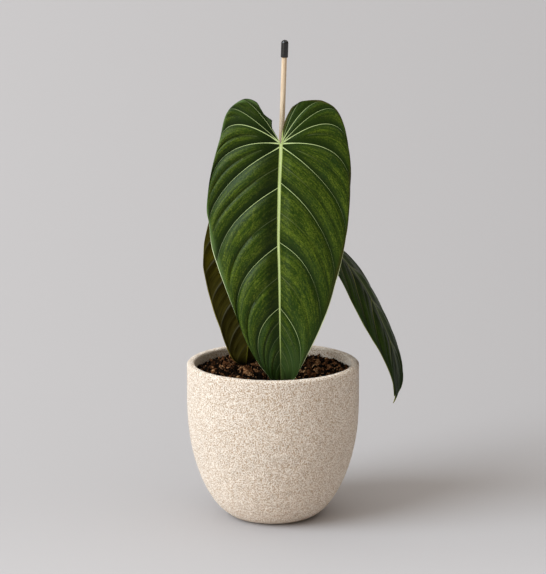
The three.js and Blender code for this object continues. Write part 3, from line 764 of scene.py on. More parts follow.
@dataclass
class SoilBed:
    """The potting soil: a crumbly body just under the lip, strewn with loose crumbs."""

    pot: Pot
    level: float = 119.6
    crown: float = 1.6
    crumb: float = 0.75
    gap: float = 0.3
    hollows: tuple[Hollow, ...] = (Hollow(6, -37, 21, 8.4), Hollow(-24, 25, 18, 5.5))
    clods: tuple[tuple[float, float], ...] = ((2.6, 0.8), (1.3, 0.5))
    sizes: tuple[Crumbs, ...] = (Crumbs("soil_lumps", 4.0, 0.9, 2.5, 2, 7), Crumbs("soil_crumbs", 1.9, 0.4,
                                                                                   1.1, 1, 19))
    dent_mm: float = 1.9
    dent_depth: float = 2.4
    rings: int = 78
    sides: int = 300
    finish: PottingSoil = PottingSoil()

    def height_at(self, x: np.ndarray, y: np.ndarray) -> np.ndarray:
        """Gives the height of the soil's top, as in the solid."""
        out = np.hypot(x, y) / self.pot.radius
        height = self.level + self.crown * (1 - out * out)
        ripple = np.sin(0.61 * x + 1.3) * np.sin(0.53 * y + 0.4) + 0.6 * np.sin(0.93 * x - 0.7 * y)
        height += self.crumb * ripple + self.crumb * 0.5 * np.sin(1.21 * y + 0.45 * x + 2.1)
        for hollow in self.hollows:
            away = np.hypot(x - hollow.x, y - hollow.y) / hollow.radius
            height -= hollow.depth * smooth(1.8 * np.maximum(0, 1 - away))
        return height

    def crumb_tree(self) -> NodeTree:
        """Makes the tree that strews crumbs: many-sided lumps, turned at random and dented by noise."""
        tree, add, given = new_growth_tree("soil_crumbs", {
            "Spacing": "NodeSocketFloat", "Least": "NodeSocketFloat", "Most": "NodeSocketFloat",
            "Seed": "NodeSocketInt", "Detail": "NodeSocketInt", "Material": "NodeSocketMaterial"})
        spread = add("GeometryNodeDistributePointsOnFaces", {"Mesh": given["Geometry"],
                                                             "Distance Min": given["Spacing"],
                                                             "Density Max": 3.0e6, "Seed": given["Seed"]},
                     distribute_method="POISSON")
        lump = add("GeometryNodeMeshIcoSphere", {"Radius": 1.0, "Subdivisions": given["Detail"]})
        turn = add("FunctionNodeRandomValue", {0: (0.0, 0.0, 0.0), 1: (6.28, 6.28, 6.28), "Seed": 3},
                   data_type="FLOAT_VECTOR")
        turned = add("FunctionNodeEulerToRotation", {0: turn.outputs[0]})
        size = add("FunctionNodeRandomValue", {2: given["Least"], 3: given["Most"], "Seed": 11},
                   data_type="FLOAT")
        squash = add("FunctionNodeRandomValue", {0: (0.6, 0.4, 0.35), 1: (2.3, 1.05, 0.85), "Seed": 5},
                     data_type="FLOAT_VECTOR")
        shape = add("ShaderNodeVectorMath", {0: squash.outputs[0], "Scale": size.outputs[1]},
                    operation="SCALE")
        strewn = add("GeometryNodeInstanceOnPoints", {"Points": spread.outputs["Points"], "Instance": lump,
                                                      "Rotation": turned, "Scale": shape})
        tone = add("FunctionNodeRandomValue", {2: 0.0, 3: 1.0, "Seed": 21}, data_type="FLOAT")
        toned = add("GeometryNodeStoreNamedAttribute", {"Geometry": strewn, "Name": Layer.TONE.value,
                                                        "Value": tone.outputs[1]}, data_type="FLOAT",
                    domain="INSTANCE")
        real = add("GeometryNodeRealizeInstances", {0: toned})
        place = add("GeometryNodeInputPosition")
        dents = add("ShaderNodeTexNoise", {"Vector": place, "Scale": 1 / (self.dent_mm * MM),
                                           "Detail": 1.0})
        centred = add("ShaderNodeVectorMath", {0: dents.outputs["Color"], 1: (0.5, 0.5, 0.5)},
                      operation="SUBTRACT")
        shift = add("ShaderNodeVectorMath", {0: centred, "Scale": self.dent_depth * MM}, operation="SCALE")
        dented = add("GeometryNodeSetPosition", {"Geometry": real, "Offset": shift})
        flat = add("GeometryNodeSetMaterial", {"Geometry": dented, "Material": given["Material"]})
        add("NodeGroupOutput", {0: flat})
        return tree

    def build(self) -> None:
        """Makes the soil body and its crumbs."""
        reach = self.pot.radius - self.pot.wall - self.gap
        angles = np.arange(self.sides) * 2 * math.pi / self.sides
        radii = reach * np.arange(1, self.rings + 1) / self.rings
        x = np.outer(radii, np.cos(angles))
        y = np.outer(radii, np.sin(angles))
        z = self.height_at(x, y)
        for step, (size, depth) in enumerate(self.clods):
            z += depth * lattice_noise(x / size, y / size, SEED + step)
        middle = float(self.height_at(np.zeros(1), np.zeros(1))[0])
        points = [(0.0, 0.0, middle)] + list(zip(x.ravel(), y.ravel(), z.ravel()))
        for low in (95.0, 68.0, 42.0, 22.0, self.pot.floor + self.gap):
            radius = float(self.pot.radius_at(low)) - self.pot.wall - self.gap
            points += [(radius * math.cos(a), radius * math.sin(a), low) for a in angles]
        points.append((0.0, 0.0, self.pot.floor + self.gap))
        faces = ring_faces(len(points) // self.sides, self.sides, top_first=True)
        material = self.finish.material()
        tones = np.zeros((len(points), 3)) + 0.1
        make_piece("soil_body", np.array(points), faces, material, ("soil",), {Layer.TONE: tones},
                   180)

        # The crumbs lie on the soil's top, a little in from the wall
        keep = self.rings - 3
        bed = [[0, 1 + j, 1 + (j + 1) % self.sides] for j in range(self.sides)]
        for ring in range(keep):
            inner, outer = 1 + ring * self.sides, 1 + (ring + 1) * self.sides
            bed += [[inner + j, outer + j, outer + (j + 1) % self.sides, inner + (j + 1) % self.sides]
                    for j in range(self.sides)]
        surface = bpy.data.meshes.new("soil_surface")
        surface.from_pydata((np.array(points[:1 + self.sides * (keep + 1)]) * MM).tolist(), [], bed)
        tree = self.crumb_tree()
        for size in self.sizes:
            values = {"Spacing": size.spacing * MM, "Least": size.least * MM, "Most": size.most * MM,
                      "Detail": size.detail, "Seed": size.seed, "Material": material}
            place_piece(size.name, grown_mesh(size.name, surface, tree, values))


@dataclass
class SupportStick:
    """The dowel that the plant leans by, and the vinyl cap on its end."""

    radius: float = 2.08
    foot: tuple[float, float, float] = (0.5, 5.0, 118.0)
    lean: float = 1.9
    below: float = 76.0
    above: float = 268.4
    cap_radius: float = 2.92
    cap_bore: float = 2.34
    cap_length: float = 14.0
    cap_crown: float = 2.8
    cap_cover: float = 12.6
    gap: float = 0.3
    chamfer: float = 0.35
    sides: int = 64
    wood: SandedRamin = SandedRamin()
    vinyl: DippedVinyl = DippedVinyl()

    def lathe(self, profile: Outline) -> tuple[np.ndarray, list]:
        """Turns a profile about the stick's leaning axis.

        Args:
            profile: Pairs of radius and height above the foot. The first and last lie on the axis.

        Returns:
            Points in mm and faces.
        """
        turn = math.radians(self.lean)
        upright = turned(profile, self.sides)
        faces = ring_faces(len(profile) - 2, self.sides)
        leaning = upright.copy()
        leaning[:, 0] = upright[:, 0] * math.cos(turn) + upright[:, 2] * math.sin(turn)
        leaning[:, 2] = upright[:, 2] * math.cos(turn) - upright[:, 0] * math.sin(turn)
        return leaning + np.array(self.foot), faces

    def build(self) -> None:
        """Makes the stick and its cap."""
        inset = self.radius - self.chamfer
        rod = [(0.0, -self.below), (inset, -self.below), (self.radius, -self.below + self.chamfer)]
        rod += [(self.radius, z) for z in np.linspace(-self.below + 4, self.above - 4, 40)]
        rod += [(self.radius, self.above - self.chamfer), (inset, self.above), (0.0, self.above)]
        points, faces = self.lathe(rod)
        make_piece("support_stick", points, faces, self.wood.material(), ("stake",))

        start = self.above + self.gap - self.cap_cover
        top = start + self.cap_length
        crown = [(self.cap_radius * math.cos(a), top - self.cap_crown + self.cap_crown * math.sin(a))
                 for a in np.radians(np.linspace(0, 90, 12))[:-1]]
        seat = start + self.cap_cover
        cap = [(0.0, seat), (self.cap_bore, seat), (self.cap_bore, start + 0.2), (self.cap_bore + 0.15,
                                                                                  start)]
        cap += [(self.cap_radius - self.chamfer, start), (self.cap_radius - 0.1, start + 0.12)]
        cap += [(self.cap_radius, z) for z in np.linspace(start + 0.8, top - self.cap_crown - 0.5, 6)]
        cap += crown + [(0.0, top)]
        points, faces = self.lathe(cap)
        make_piece("stick_cap", points, faces, self.vinyl.material(), ("stake_cap",))


@dataclass(frozen=True)
class Route:
    """A smooth path in space through given points."""

    stops: tuple[tuple[float, float, float], ...]

    def points(self, steps: int) -> np.ndarray:
        """Gives evenly spaced points of the path.

        Args:
            steps: Number of steps from end to end.

        Returns:
            Rows of x, y and z in mm.
        """
        stops = np.array(self.stops, dtype=float)
        padded = np.vstack([2 * stops[0] - stops[1], stops, 2 * stops[-1] - stops[-2]])
        fine = []
        for k in range(1, len(padded) - 2):
            knots = [0.0]
            for a, b in ((k - 1, k), (k, k + 1), (k + 1, k + 2)):
                knots.append(knots[-1] + np.linalg.norm(padded[b] - padded[a]) ** 0.5)
            t = np.linspace(knots[1], knots[2], 60, endpoint=False)[:, None]
            p0, p1, p2, p3 = padded[k - 1:k + 3]
            t0, t1, t2, t3 = knots
            a1 = (t1 - t) / (t1 - t0) * p0 + (t - t0) / (t1 - t0) * p1
            a2 = (t2 - t) / (t2 - t1) * p1 + (t - t1) / (t2 - t1) * p2
            a3 = (t3 - t) / (t3 - t2) * p2 + (t - t2) / (t3 - t2) * p3
            b1 = (t2 - t) / (t2 - t0) * a1 + (t - t0) / (t2 - t0) * a2
            b2 = (t3 - t) / (t3 - t1) * a2 + (t - t1) / (t3 - t1) * a3
            fine.append((t2 - t) / (t2 - t1) * b1 + (t - t1) / (t2 - t1) * b2)
        path = np.vstack(fine + [stops[-1:]])
        walked = np.concatenate([[0], np.cumsum(np.linalg.norm(np.diff(path, axis=0), axis=1))])
        even = np.linspace(0, walked[-1], steps + 1)
        return np.stack([np.interp(even, walked, path[:, axis]) for axis in range(3)], axis=1)


@dataclass
class Stalks:
    """The vine stem with its nodes and tip sheath, and the stalk of each leaf."""

    stem: Route = Route(((7.5, 14, 90), (7.4, 14, 120), (7.9, 14.2, 150), (7.5, 14, 172), (8.6, 16, 188),
                         (10.6, 18.6, 206)))
    stem_radius: float = 3.7
    tip_radius: float = 0.5
    sheath_start: float = 0.66
    nodes: tuple[float, ...] = (138.0, 154.0, 169.0)
    node_rise: float = 0.7
    node_spread: float = 2.2
    front: Route = Route(((8.3, 9.0, 166.5), (9.6, 6.2, 171), (11.4, 4.6, 183), (12.6, -2, 224),
                          (11.2, -14, 274), (8, -20.4, 300), (6.6, -22.5, 307.4)))
    back: Route = Route(((2.8, 13.4, 137.5), (0.6, 12.8, 141), (-1.6, 11.4, 151), (-4.4, 9.0, 186),
                         (-5.8, 7.4, 226), (-5.2, 9.4, 249.6)))
    right: Route = Route(((12.8, 14, 152.5), (15.6, 13.5, 156.5), (21, 12.4, 168), (38.5, 8.8, 212),
                          (45.8, 7.3, 222)))
    skin: StalkSkin = StalkSkin()

    def sweep_tree(self) -> NodeTree:
        """Makes the tree that sweeps a round section along a path, as thick as its girth attribute."""
        tree, add, given = new_growth_tree("stalk_sweep", {
            "Sides": "NodeSocketInt", "Material": "NodeSocketMaterial"})
        path = add("GeometryNodeMeshToCurve", {"Mesh": given["Geometry"]})
        ring = add("GeometryNodeCurvePrimitiveCircle", {"Resolution": given["Sides"], "Radius": 1.0})
        girth = add("GeometryNodeInputNamedAttribute", {"Name": Layer.GIRTH.value}, data_type="FLOAT")
        swept = add("GeometryNodeCurveToMesh", {"Curve": path, "Profile Curve": ring.outputs["Curve"],
                                                "Scale": girth, "Fill Caps": True})
        end_growth_tree(add, swept, given["Material"])
        return tree

    def sweep(self, name: str, path: np.ndarray, girth: np.ndarray, tree: NodeTree,
              material: Material, node: str) -> None:
        """Sweeps one stalk with rounded ends.

        Args:
            name: The piece's name.
            path: Points of its centre line in mm.
            girth: Its radius at each point in mm.
            tree: The sweep tree.
            material: Its finish.
            node: The CAD node that it replaces.
        """
        rounds = np.sqrt(1 - (1 - np.linspace(0, 1, 7)[1:-1]) ** 2)
        reach = (0.55 * (1 - rounds) - 0.1)[:, None]
        nose = path[0] + unit(path[1] - path[0]) * girth[0] * reach
        tail = path[-1] - unit(path[-1] - path[-2]) * girth[-1] * reach[::-1]
        points = np.vstack([nose, path[1:-1], tail])
        sizes = np.concatenate([girth[0] * rounds, girth[1:-1], girth[-1] * rounds[::-1]])
        mesh = bpy.data.meshes.new(name + "_path")
        mesh.from_pydata((points * MM).tolist(), [[k, k + 1] for k in range(len(points) - 1)], [])
        girths = mesh.attributes.new(Layer.GIRTH.value, "FLOAT", "POINT")
        girths.data.foreach_set("value", (sizes * MM).astype(np.float32))
        place_piece(name, grown_mesh(name, mesh, tree, {"Sides": 28, "Material": material}),
                    (node,))

    def build(self) -> None:
        """Makes the stem and the three leaf stalks."""
        tree = self.sweep_tree()
        material = self.skin.material()
        path = self.stem.points(220)
        share = np.linspace(0, 1, len(path))
        narrowing = np.maximum(0, (share - self.sheath_start) / (1 - self.sheath_start))
        girth = self.stem_radius + (self.tip_radius - self.stem_radius) * narrowing ** 0.8
        for node in self.nodes:
            girth += self.node_rise * np.exp(-(((path[:, 2] - node) / self.node_spread) ** 2))
        self.sweep("vine_stem", path, girth, tree, material, "stem")
        for name, route, foot, top in (("front", self.front, 2.3, 1.55), ("back", self.back, 2.1, 1.4),
                                       ("right", self.right, 2.1, 1.4)):
            path = route.points(120)
            girth = foot + (top - foot) * np.minimum(1, np.linspace(0, 1, len(path)) * 2.2)
            self.sweep("stalk_" + name, path, girth, tree, material, "petiole_" + name)


def unit(vectors: np.ndarray) -> np.ndarray:
    """Scales vectors to length 1."""
    return vectors / np.linalg.norm(vectors, axis=-1, keepdims=True)


@dataclass(frozen=True)
class Bend:
    """A value that runs straight between stops at distances along a midrib."""

    stops: tuple[tuple[float, float], ...]

    def at(self, along: np.ndarray) -> np.ndarray:
        """Reads the value at distances along."""
        places, values = zip(*self.stops)
        return np.interp(along, places, values)


@dataclass(frozen=True)
class Vein:
    """A side vein of a leaf laid flat, in mm from the notch as [out, along].

    It leaves the midrib at rib along it, is drawn towards pull, and meets the margin at edge.
    """

    rib: float
    pull: tuple[float, float]
    edge: tuple[float, float]
    strength: float


FRONT_RIGHT = (
    Vein(0, (0.4, -17.5), (8.5, -29), 0.0),
    Vein(0, (5, -26), (12.8, -31.8), 0.1),
    Vein(0, (10.9, -36), (18.2, -33.6), 0.5),
    Vein(0, (17.2, -33.9), (33.2, -33.9), 0.8),
    Vein(0, (35.4, -40.2), (46.8, -22.5), 0.8),
    Vein(0, (49.3, -35.3), (55.1, 8.3), 0.9),
    Vein(0, (52.8, -5.7), (56.6, 31.6), 1.0),
    Vein(2, (54.1, 34.8), (53.5, 74.8), 1.0),
    Vein(30, (43.2, 61.6), (44.6, 111.2), 1.0),
    Vein(77, (31.6, 96), (32.8, 143.8), 0.85),
    Vein(129, (27.2, 160.1), (8.2, 190.1), 0.7),
    Vein(151, (15, 172), (5.4, 193.5), 0.1),
    Vein(173, (6.5, 182), (2.6, 198), 0.1),
    Vein(204, (0, 204), (0, 204), 0.0),
)
FRONT_LEFT = (
    Vein(0, (8.4, -7.5), (7, -18.4), 0.0),
    Vein(0, (8.4, -13.5), (14.6, -24.6), 0.2),
    Vein(0, (11, -19), (19.5, -33), 0.2),
    Vein(0, (19.8, -32), (30.3, -35), 0.9),
    Vein(0, (38.7, -37.1), (42.8, -24.8), 0.7),
    Vein(0, (41.9, -29.5), (49, -1.7), 0.9),
    Vein(0, (53.7, -4.8), (57.1, 45.3), 1.0),
    Vein(2, (54.5, 35.1), (55.4, 65.2), 1.0),
    Vein(34, (42.8, 60.2), (49.5, 92.9), 1.0),
    Vein(80, (49.6, 111), (25.6, 156.9), 0.75),
    Vein(129, (28.4, 148.3), (10.7, 183.1), 0.65),
    Vein(151, (15, 165), (5.3, 192.5), 0.1),
    Vein(173, (7, 182), (2.6, 198), 0.1),
    Vein(204, (0, 204), (0, 204), 0.0),
)
YOUNG_HALF = (
    Vein(0, (1, -12), (6.5, -18), 0.0),
    Vein(0, (7, -18), (19, -24), 0.6),
    Vein(0, (21, -28), (36, -17), 0.8),
    Vein(0, (31, -22), (43, 3), 1.0),
    Vein(0, (40, -2), (47.5, 25), 1.0),
    Vein(7, (41, 14), (48.2, 46), 1.0),
    Vein(24, (38, 35), (45, 66), 1.0),
    Vein(45, (34, 60), (35.5, 90), 1.0),
    Vein(68, (26, 84), (24.3, 111), 1.0),
    Vein(93, (16, 106), (14.6, 129), 0.8),
    Vein(119, (8, 129), (7.6, 140.5), 0.2),
    Vein(146, (0, 146), (0, 146), 0.0),
)


@dataclass
class Leaf:
    """One hanging blade: two halves over a bent midrib, quilted between sunken side veins.

    halves, folds, minor_depth, shade and minor_shade hold the right half's value and then the left's,
    seen on the upper face. A Bend gives a value at distances from the notch. lean is the midrib's slope
    down from level in degrees, sway its shift sideways in mm, eased over sway_ease, and roll its turn
    about itself. folds lift the halves by degrees, and droop lets them down again for each mm outward.
    grow scales the flat blade outward and along. furrow is the quilt's height, as a share of the space
    between two veins and as its most. rise_mm and fall_mm are the widths of its steep sides, and wave
    is the height of the margin's waves. channel is how deep the blade sinks at the midrib, and
    channel_mm how far out. A minor vein runs midway between two side veins, and minor_depth says how
    deep. shade and minor_shade say how strong the painted shade is beside the two kinds of veins.
    """

    name: str
    notch: tuple[float, float, float]
    heading: float
    halves: tuple[tuple[Vein, ...], tuple[Vein, ...]]
    grow: tuple[float, float]
    length: float
    lean: Bend
    sway: Bend
    roll: Bend
    folds: tuple[Bend, Bend]
    droop: float
    thickness: float
    furrow: tuple[float, float]
    wave: float
    skin: LeafSkin
    slot: str
    seed: int
    columns: int = 66
    sway_ease: int = 12
    rib_half: float = 0.3
    rib_ridge: float = 1.5
    rib_mm: float = 1.35
    vein_ridge: float = 0.5
    rise_mm: float = 5.0
    fall_mm: float = 7.5
    minor_depth: tuple[float, float] = (0.5, 0.5)
    shade: tuple[float, float] = (0.9, 0.9)
    minor_shade: tuple[float, float] = (0.3, 0.3)
    shade_mm: float = 5.0
    channel: float = 1.0
    channel_mm: float = 7.5
    scallop: float = 0.006
    crease: float = 62.0
    band_steps: tuple[float, ...] = (0, 0.018, 0.045, 0.09, 0.16, 0.25, 0.35, 0.44, 0.5, 0.56, 0.65, 0.75,
                                     0.84, 0.91, 0.955, 0.982)

    def __post_init__(self) -> None:
        """Lays out the midrib's points in space."""
        turn = math.radians(self.heading)
        level = np.array([math.cos(turn), math.sin(turn), 0.0])
        self.across = np.array([-level[1], level[0], 0.0])
        self.start = -60.0
        places = np.arange(self.start, self.length + 2 + 1e-6)
        angles = np.radians(self.lean.at(places[:-1] + 0.5))
        walked = np.concatenate([[0], np.cumsum(np.cos(angles))])
        fallen = np.concatenate([[0], np.cumsum(np.sin(angles))])
        shifts = range(-self.sway_ease, self.sway_ease + 1)
        sway = np.mean([self.sway.at(places + shift) for shift in shifts], axis=0)
        path = np.outer(walked, level) - np.outer(fallen, [0, 0, 1]) + np.outer(sway, self.across)
        self.path = path - path[int(-self.start)] + np.array(self.notch)

    def frames(self, along: np.ndarray) -> tuple[np.ndarray, np.ndarray, np.ndarray]:
        """Reads the midrib at distances along.

        Args:
            along: Distances from the notch.

        Returns:
            Points, and the outward and face directions there.
        """
        place = along - self.start
        k = np.clip(np.floor(place).astype(int), 1, len(self.path) - 3)
        f = np.clip(place - k, 0, 1)[..., None]
        point = self.path[k] * (1 - f) + self.path[k + 1] * f
        before = self.path[k + 1] - self.path[k - 1]
        after = self.path[k + 2] - self.path[k]
        tangent = unit(before * (1 - f) + after * f)
        outward = unit(self.across - (tangent @ self.across)[..., None] * tangent)
        face = np.cross(tangent, outward)
        turn = np.radians(self.roll.at(along))[..., None]
        cosine, sine = np.cos(turn), np.sin(turn)
        return point, outward * cosine + face * sine, face * cosine - outward * sine

    def flat(self, side: int, s: np.ndarray, t: np.ndarray) -> tuple[np.ndarray, np.ndarray]:
        """Places points of one half laid flat.

        Args:
            side: 0 or 1.
            s: Places down the vein list.
            t: Shares of the way out along a vein.

        Returns:
            Distances out from the midrib and along it.
        """
        veins = self.halves[side]
        last = len(veins) - 1
        out, along = self.grow
        scales = (along, out, along, out, along)
        table = np.array([(v.rib, *v.pull, *v.edge) for v in veins]) * scales
        k = np.minimum(last - 1, np.floor(s).astype(int))
        f = (s - k)[..., None]
        p0, p1, p2, p3 = (table[np.clip(k + offset, 0, last)] for offset in (-1, 0, 1, 2))
        cube = 3 * (p1 - p2) + p3 - p0
        bent = p1 + 0.5 * f * ((p2 - p0) + f * ((2 * p0 - 5 * p1 + 4 * p2 - p3) + f * cube))
        rib = (p1 + (p2 - p1) * f)[..., 0]
        start, pull, end = (1 - t) ** 2, 2 * t * (1 - t), t * t
        reach = pull * bent[..., 1] + end * bent[..., 3]
        return reach, start * rib + pull * bent[..., 2] + end * bent[..., 4]

    def half(self, side: int) -> dict[str, np.ndarray]:
        """Works out the middle surface and pattern of one half.

        Args:
            side: 0 or 1.

        Returns:
            Arrays over rows down the veins and columns outward.
        """
        last = len(self.halves[side]) - 1
        rows = np.array([k + f for k in range(last) for f in self.band_steps] + [float(last)])
        columns = (np.arange(self.columns + 1) / self.columns) ** 0.85
        s, t = np.meshgrid(rows, columns, indexing="ij")
        out, along = self.flat(side, s, t)
        band = np.minimum(last - 1, np.floor(s))
        f = s - band
        upper, lower = self.flat(side, band, t), self.flat(side, band + 1, t)
        space = np.hypot(upper[0] - lower[0], upper[1] - lower[1])
        share, most = self.furrow
        height = np.minimum(most, share * space)
        strength = np.interp(s, np.arange(last + 1), [vein.strength for vein in self.halves[side]])
        # The blade rises steeply below a vein, stays nearly level, and drops before the next one
        rising = 1 - np.exp(-((f * space / self.rise_mm) ** 1.5))
        falling = 1 - np.exp(-(((1 - f) * space / self.fall_mm) ** 1.7))
        arch = rising * falling * (1 - t ** 5)
        between = smooth((t - 0.03) / 0.2) * smooth((0.93 - t) / 0.3) * smooth((space - 7) / 8)
        minor = between * np.exp(-np.abs((f - 0.5) * space) / 1.8)
        ends = self.flat(side, s, np.ones_like(t)), self.flat(side, s, np.zeros_like(t))
        length = np.hypot(ends[0][0] - ends[1][0], ends[0][1] - ends[1][1])
        ripple = lattice_noise(s * 3.1, t * length / 13, self.seed + side) * smooth(space / 8)
        rise = height * arch - self.minor_depth[side] * height * minor + 0.16 * ripple * (1 - t ** 6)
        beside = 1 - np.exp(-((out / self.channel_mm) ** 2))
        rise = rise + self.channel * beside * smooth((self.length - along) / 30)
        rise = rise + self.wave * t ** 3 * np.sin(2.1 * s + 2.4 * side)
        off_vein = np.minimum(f, 1 - f) * space
        # Painted shade: darker just above each side vein, in a thin line just below it, and before each
        # minor vein
        above = np.exp(-(((1 - f) * space / self.shade_mm) ** 1.8))
        shade = self.shade[side] * strength * np.maximum(0.6 * np.exp(-f * space / 0.9), above)
        before = np.exp(-((np.maximum(0, 0.5 - f) * space / 3.2) ** 1.8)) * (f < 0.5)
        shade = np.maximum(shade, self.minor_shade[side] * between * before)
        off_margin = (1 - t) * length
        off_margin = np.where(s < 1, np.minimum(off_margin, f * space + 0.04 * out), off_margin)
        uneven = lattice_noise(s * 2.3, 5.5 + 0 * s, self.seed)
        scallop = np.exp(-(off_vein / 7) ** 2) * strength + 0.5 + 0.5 * uneven
        out = out * (1 - self.scallop * scallop * t ** 8 * smooth(space / 6))

        sign = 1 if side == 0 else -1
        wide = np.hypot(out, self.rib_half * np.minimum(1, last - s))
        point, outward, face = self.frames(along)
        angle = np.radians(self.folds[side].at(along) - self.droop * wide)[..., None]
        outward = outward * sign
        normal = face * np.cos(angle) - outward * np.sin(angle)
        place = point + (outward * np.cos(angle) + face * np.sin(angle)) * wide[..., None]
        place = place + normal * (rise * np.minimum(1, wide / 8))[..., None]
        taper = 1.03 - np.clip(along / self.length, 0, 1) ** 1.4
        rib = self.rib_ridge * taper * np.exp(-((wide / (0.4 + 1.3 * taper)) ** 2)) * (along > -1)
        ridge = self.vein_ridge * strength * np.exp(-(off_vein / 0.6) ** 2)
        ridge = ridge * (1 - 0.75 * t) * smooth(off_margin / 6)
        off_minor = np.abs(f - 0.5) * space + 3 * smooth((12 - space) / 5)
        return {
            "place": place,
            "normal": normal,
            "half": self.thickness * (0.5 - 0.24 * smooth(1 - off_margin / 7)),
            "ridge": np.maximum(rib, ridge),
            "along": along,
            "veins": np.stack([off_vein, wide / (self.rib_mm * taper), off_margin], axis=-1),
            "grain": np.stack([s * 17.0 + 300 * side, t * length, strength], axis=-1),
            "lobe": np.stack([arch, np.clip(along / self.length, 0, 1), np.zeros_like(t)], axis=-1),
            "furrow": np.stack([off_minor, shade, np.hypot(out, along)], axis=-1),
        }

    def build(self) -> None:
        """Makes the blade as one closed sheet."""
        sides = [self.half(side) for side in (0, 1)]
        offset = 0
        faces: list[list[int]] = []
        ribs = []
        tip = None
        for side, data in enumerate(sides):
            rows, columns = data["along"].shape
            ids = offset + np.arange(rows * columns).reshape(rows, columns)
            offset += rows * columns
            inner = data["along"][:, 0]
            for i in range(1, rows):
                if abs(inner[i] - inner[i - 1]) < 1e-6:
                    ids[i, 0] = ids[i - 1, 0]
            tip = ids[-1, 0] if tip is None else tip
            ids[-1, :] = tip
            for i in range(rows - 1):
                for j in range(columns - 1):
                    ring = [ids[i, j], ids[i + 1, j], ids[i + 1, j + 1], ids[i, j + 1]]
                    if side:
                        ring.reverse()
                    faces.append(ring)
            rib = [(float(inner[0]), int(ids[0, 0]))]
            rib += [(float(inner[i]), int(ids[i, 0])) for i in range(1, rows) if ids[i, 0] != ids[i - 1, 0]]
            ribs.append(rib)
        faces += self.rib_strip(*ribs)
        faces = [face for face in (self.without_repeats(face) for face in faces) if len(face) > 2]

        merged = {key: np.concatenate([data[key].reshape(-1, *data[key].shape[2:]) for data in sides])
                  for key in sides[0]}
        count = len(merged["place"])
        top = merged["place"] + merged["normal"] * merged["half"][:, None]
        under = merged["place"] - merged["normal"] * (merged["half"] + merged["ridge"])[:, None]
        directed = {(face[k - 1], face[k]) for face in faces for k in range(len(face))}
        wall = [[a, a + count, b + count, b] for a, b in directed if (b, a) not in directed]
        sheet = faces + [[corner + count for corner in reversed(face)] for face in faces] + sorted(wall)
        used = np.unique(np.concatenate([np.array(face) for face in sheet]))
        number = np.full(2 * count, -1)
        number[used] = np.arange(len(used))
        layers = {}
        for layer in LEAF_LAYERS:
            both = np.concatenate([merged[layer.value]] * 2)
            if layer is Layer.LOBE:
                both[count:, 2] = 1.0
            layers[layer] = both[used]
        points = np.concatenate([top, under])[used]
        sheet = [[int(number[corner]) for corner in face] for face in sheet]
        node = self.name.replace("blade", "leaf")
        make_piece(self.name, points, sheet, self.skin.material(), (node,), layers, self.crease)

    @staticmethod
    def without_repeats(face: list[int]) -> list[int]:
        """Drops a face's repeated neighbouring corners."""
        kept = [int(corner) for k, corner in enumerate(face) if corner != face[k - 1]]
        return kept if len(set(kept)) == len(kept) else []

    @staticmethod
    def rib_strip(right: list[tuple[float, int]], left: list[tuple[float, int]]) -> list[list[int]]:
        """Closes the narrow strip along the midrib between the two halves.

        Args:
            right: Distances along and corner numbers of the first half's inner edge.
            left: The same for the second half.

        Returns:
            Triangles, facing as the halves do.
        """
        strip = []
        i = j = 0
        while i < len(right) - 1 or j < len(left) - 1:
            first = j == len(left) - 1 or (i < len(right) - 1 and right[i + 1][0] <= left[j + 1][0])
            if first:
                strip.append([right[i + 1][1], right[i][1], left[j][1]])
                i += 1
            else:
                strip.append([left[j][1], left[j + 1][1], right[i][1]])
                j += 1
        return strip


MATURE_SKIN = LeafSkin(name="leaf_velvet_mature", deep="111d04", body="273a0a", crest="4b5d14",
                       cool="23381a", pale="546a38", speck="727c2a", vein="c8d894", rib="a4b46a",
                       margin="d8e2ae", bronze="463f14", under="4a5424", under_gold="5c6024",
                       under_vein="8a9560", under_rib="98a260", under_margin="98a260", pith="d4e0a4",
                       drip="8a8a30")
YOUNG_SKIN = LeafSkin(name="leaf_velvet_young", deep="0d1605", body="1d2c0c", crest="344812", cool="1e2c12",
                      pale="26361a", speck="3f4a18", vein="8a8f50", rib="566038", margin="5f6a2c",
                      bronze="221f0c", under="282409", under_gold="4b4508", under_vein="4c4a36",
                      under_rib="8c8c2c", under_margin="847a30", pith="6a7440", drip="8a8a24",
                      vein_mm=0.6, nap=0.0, gloss=0.05)


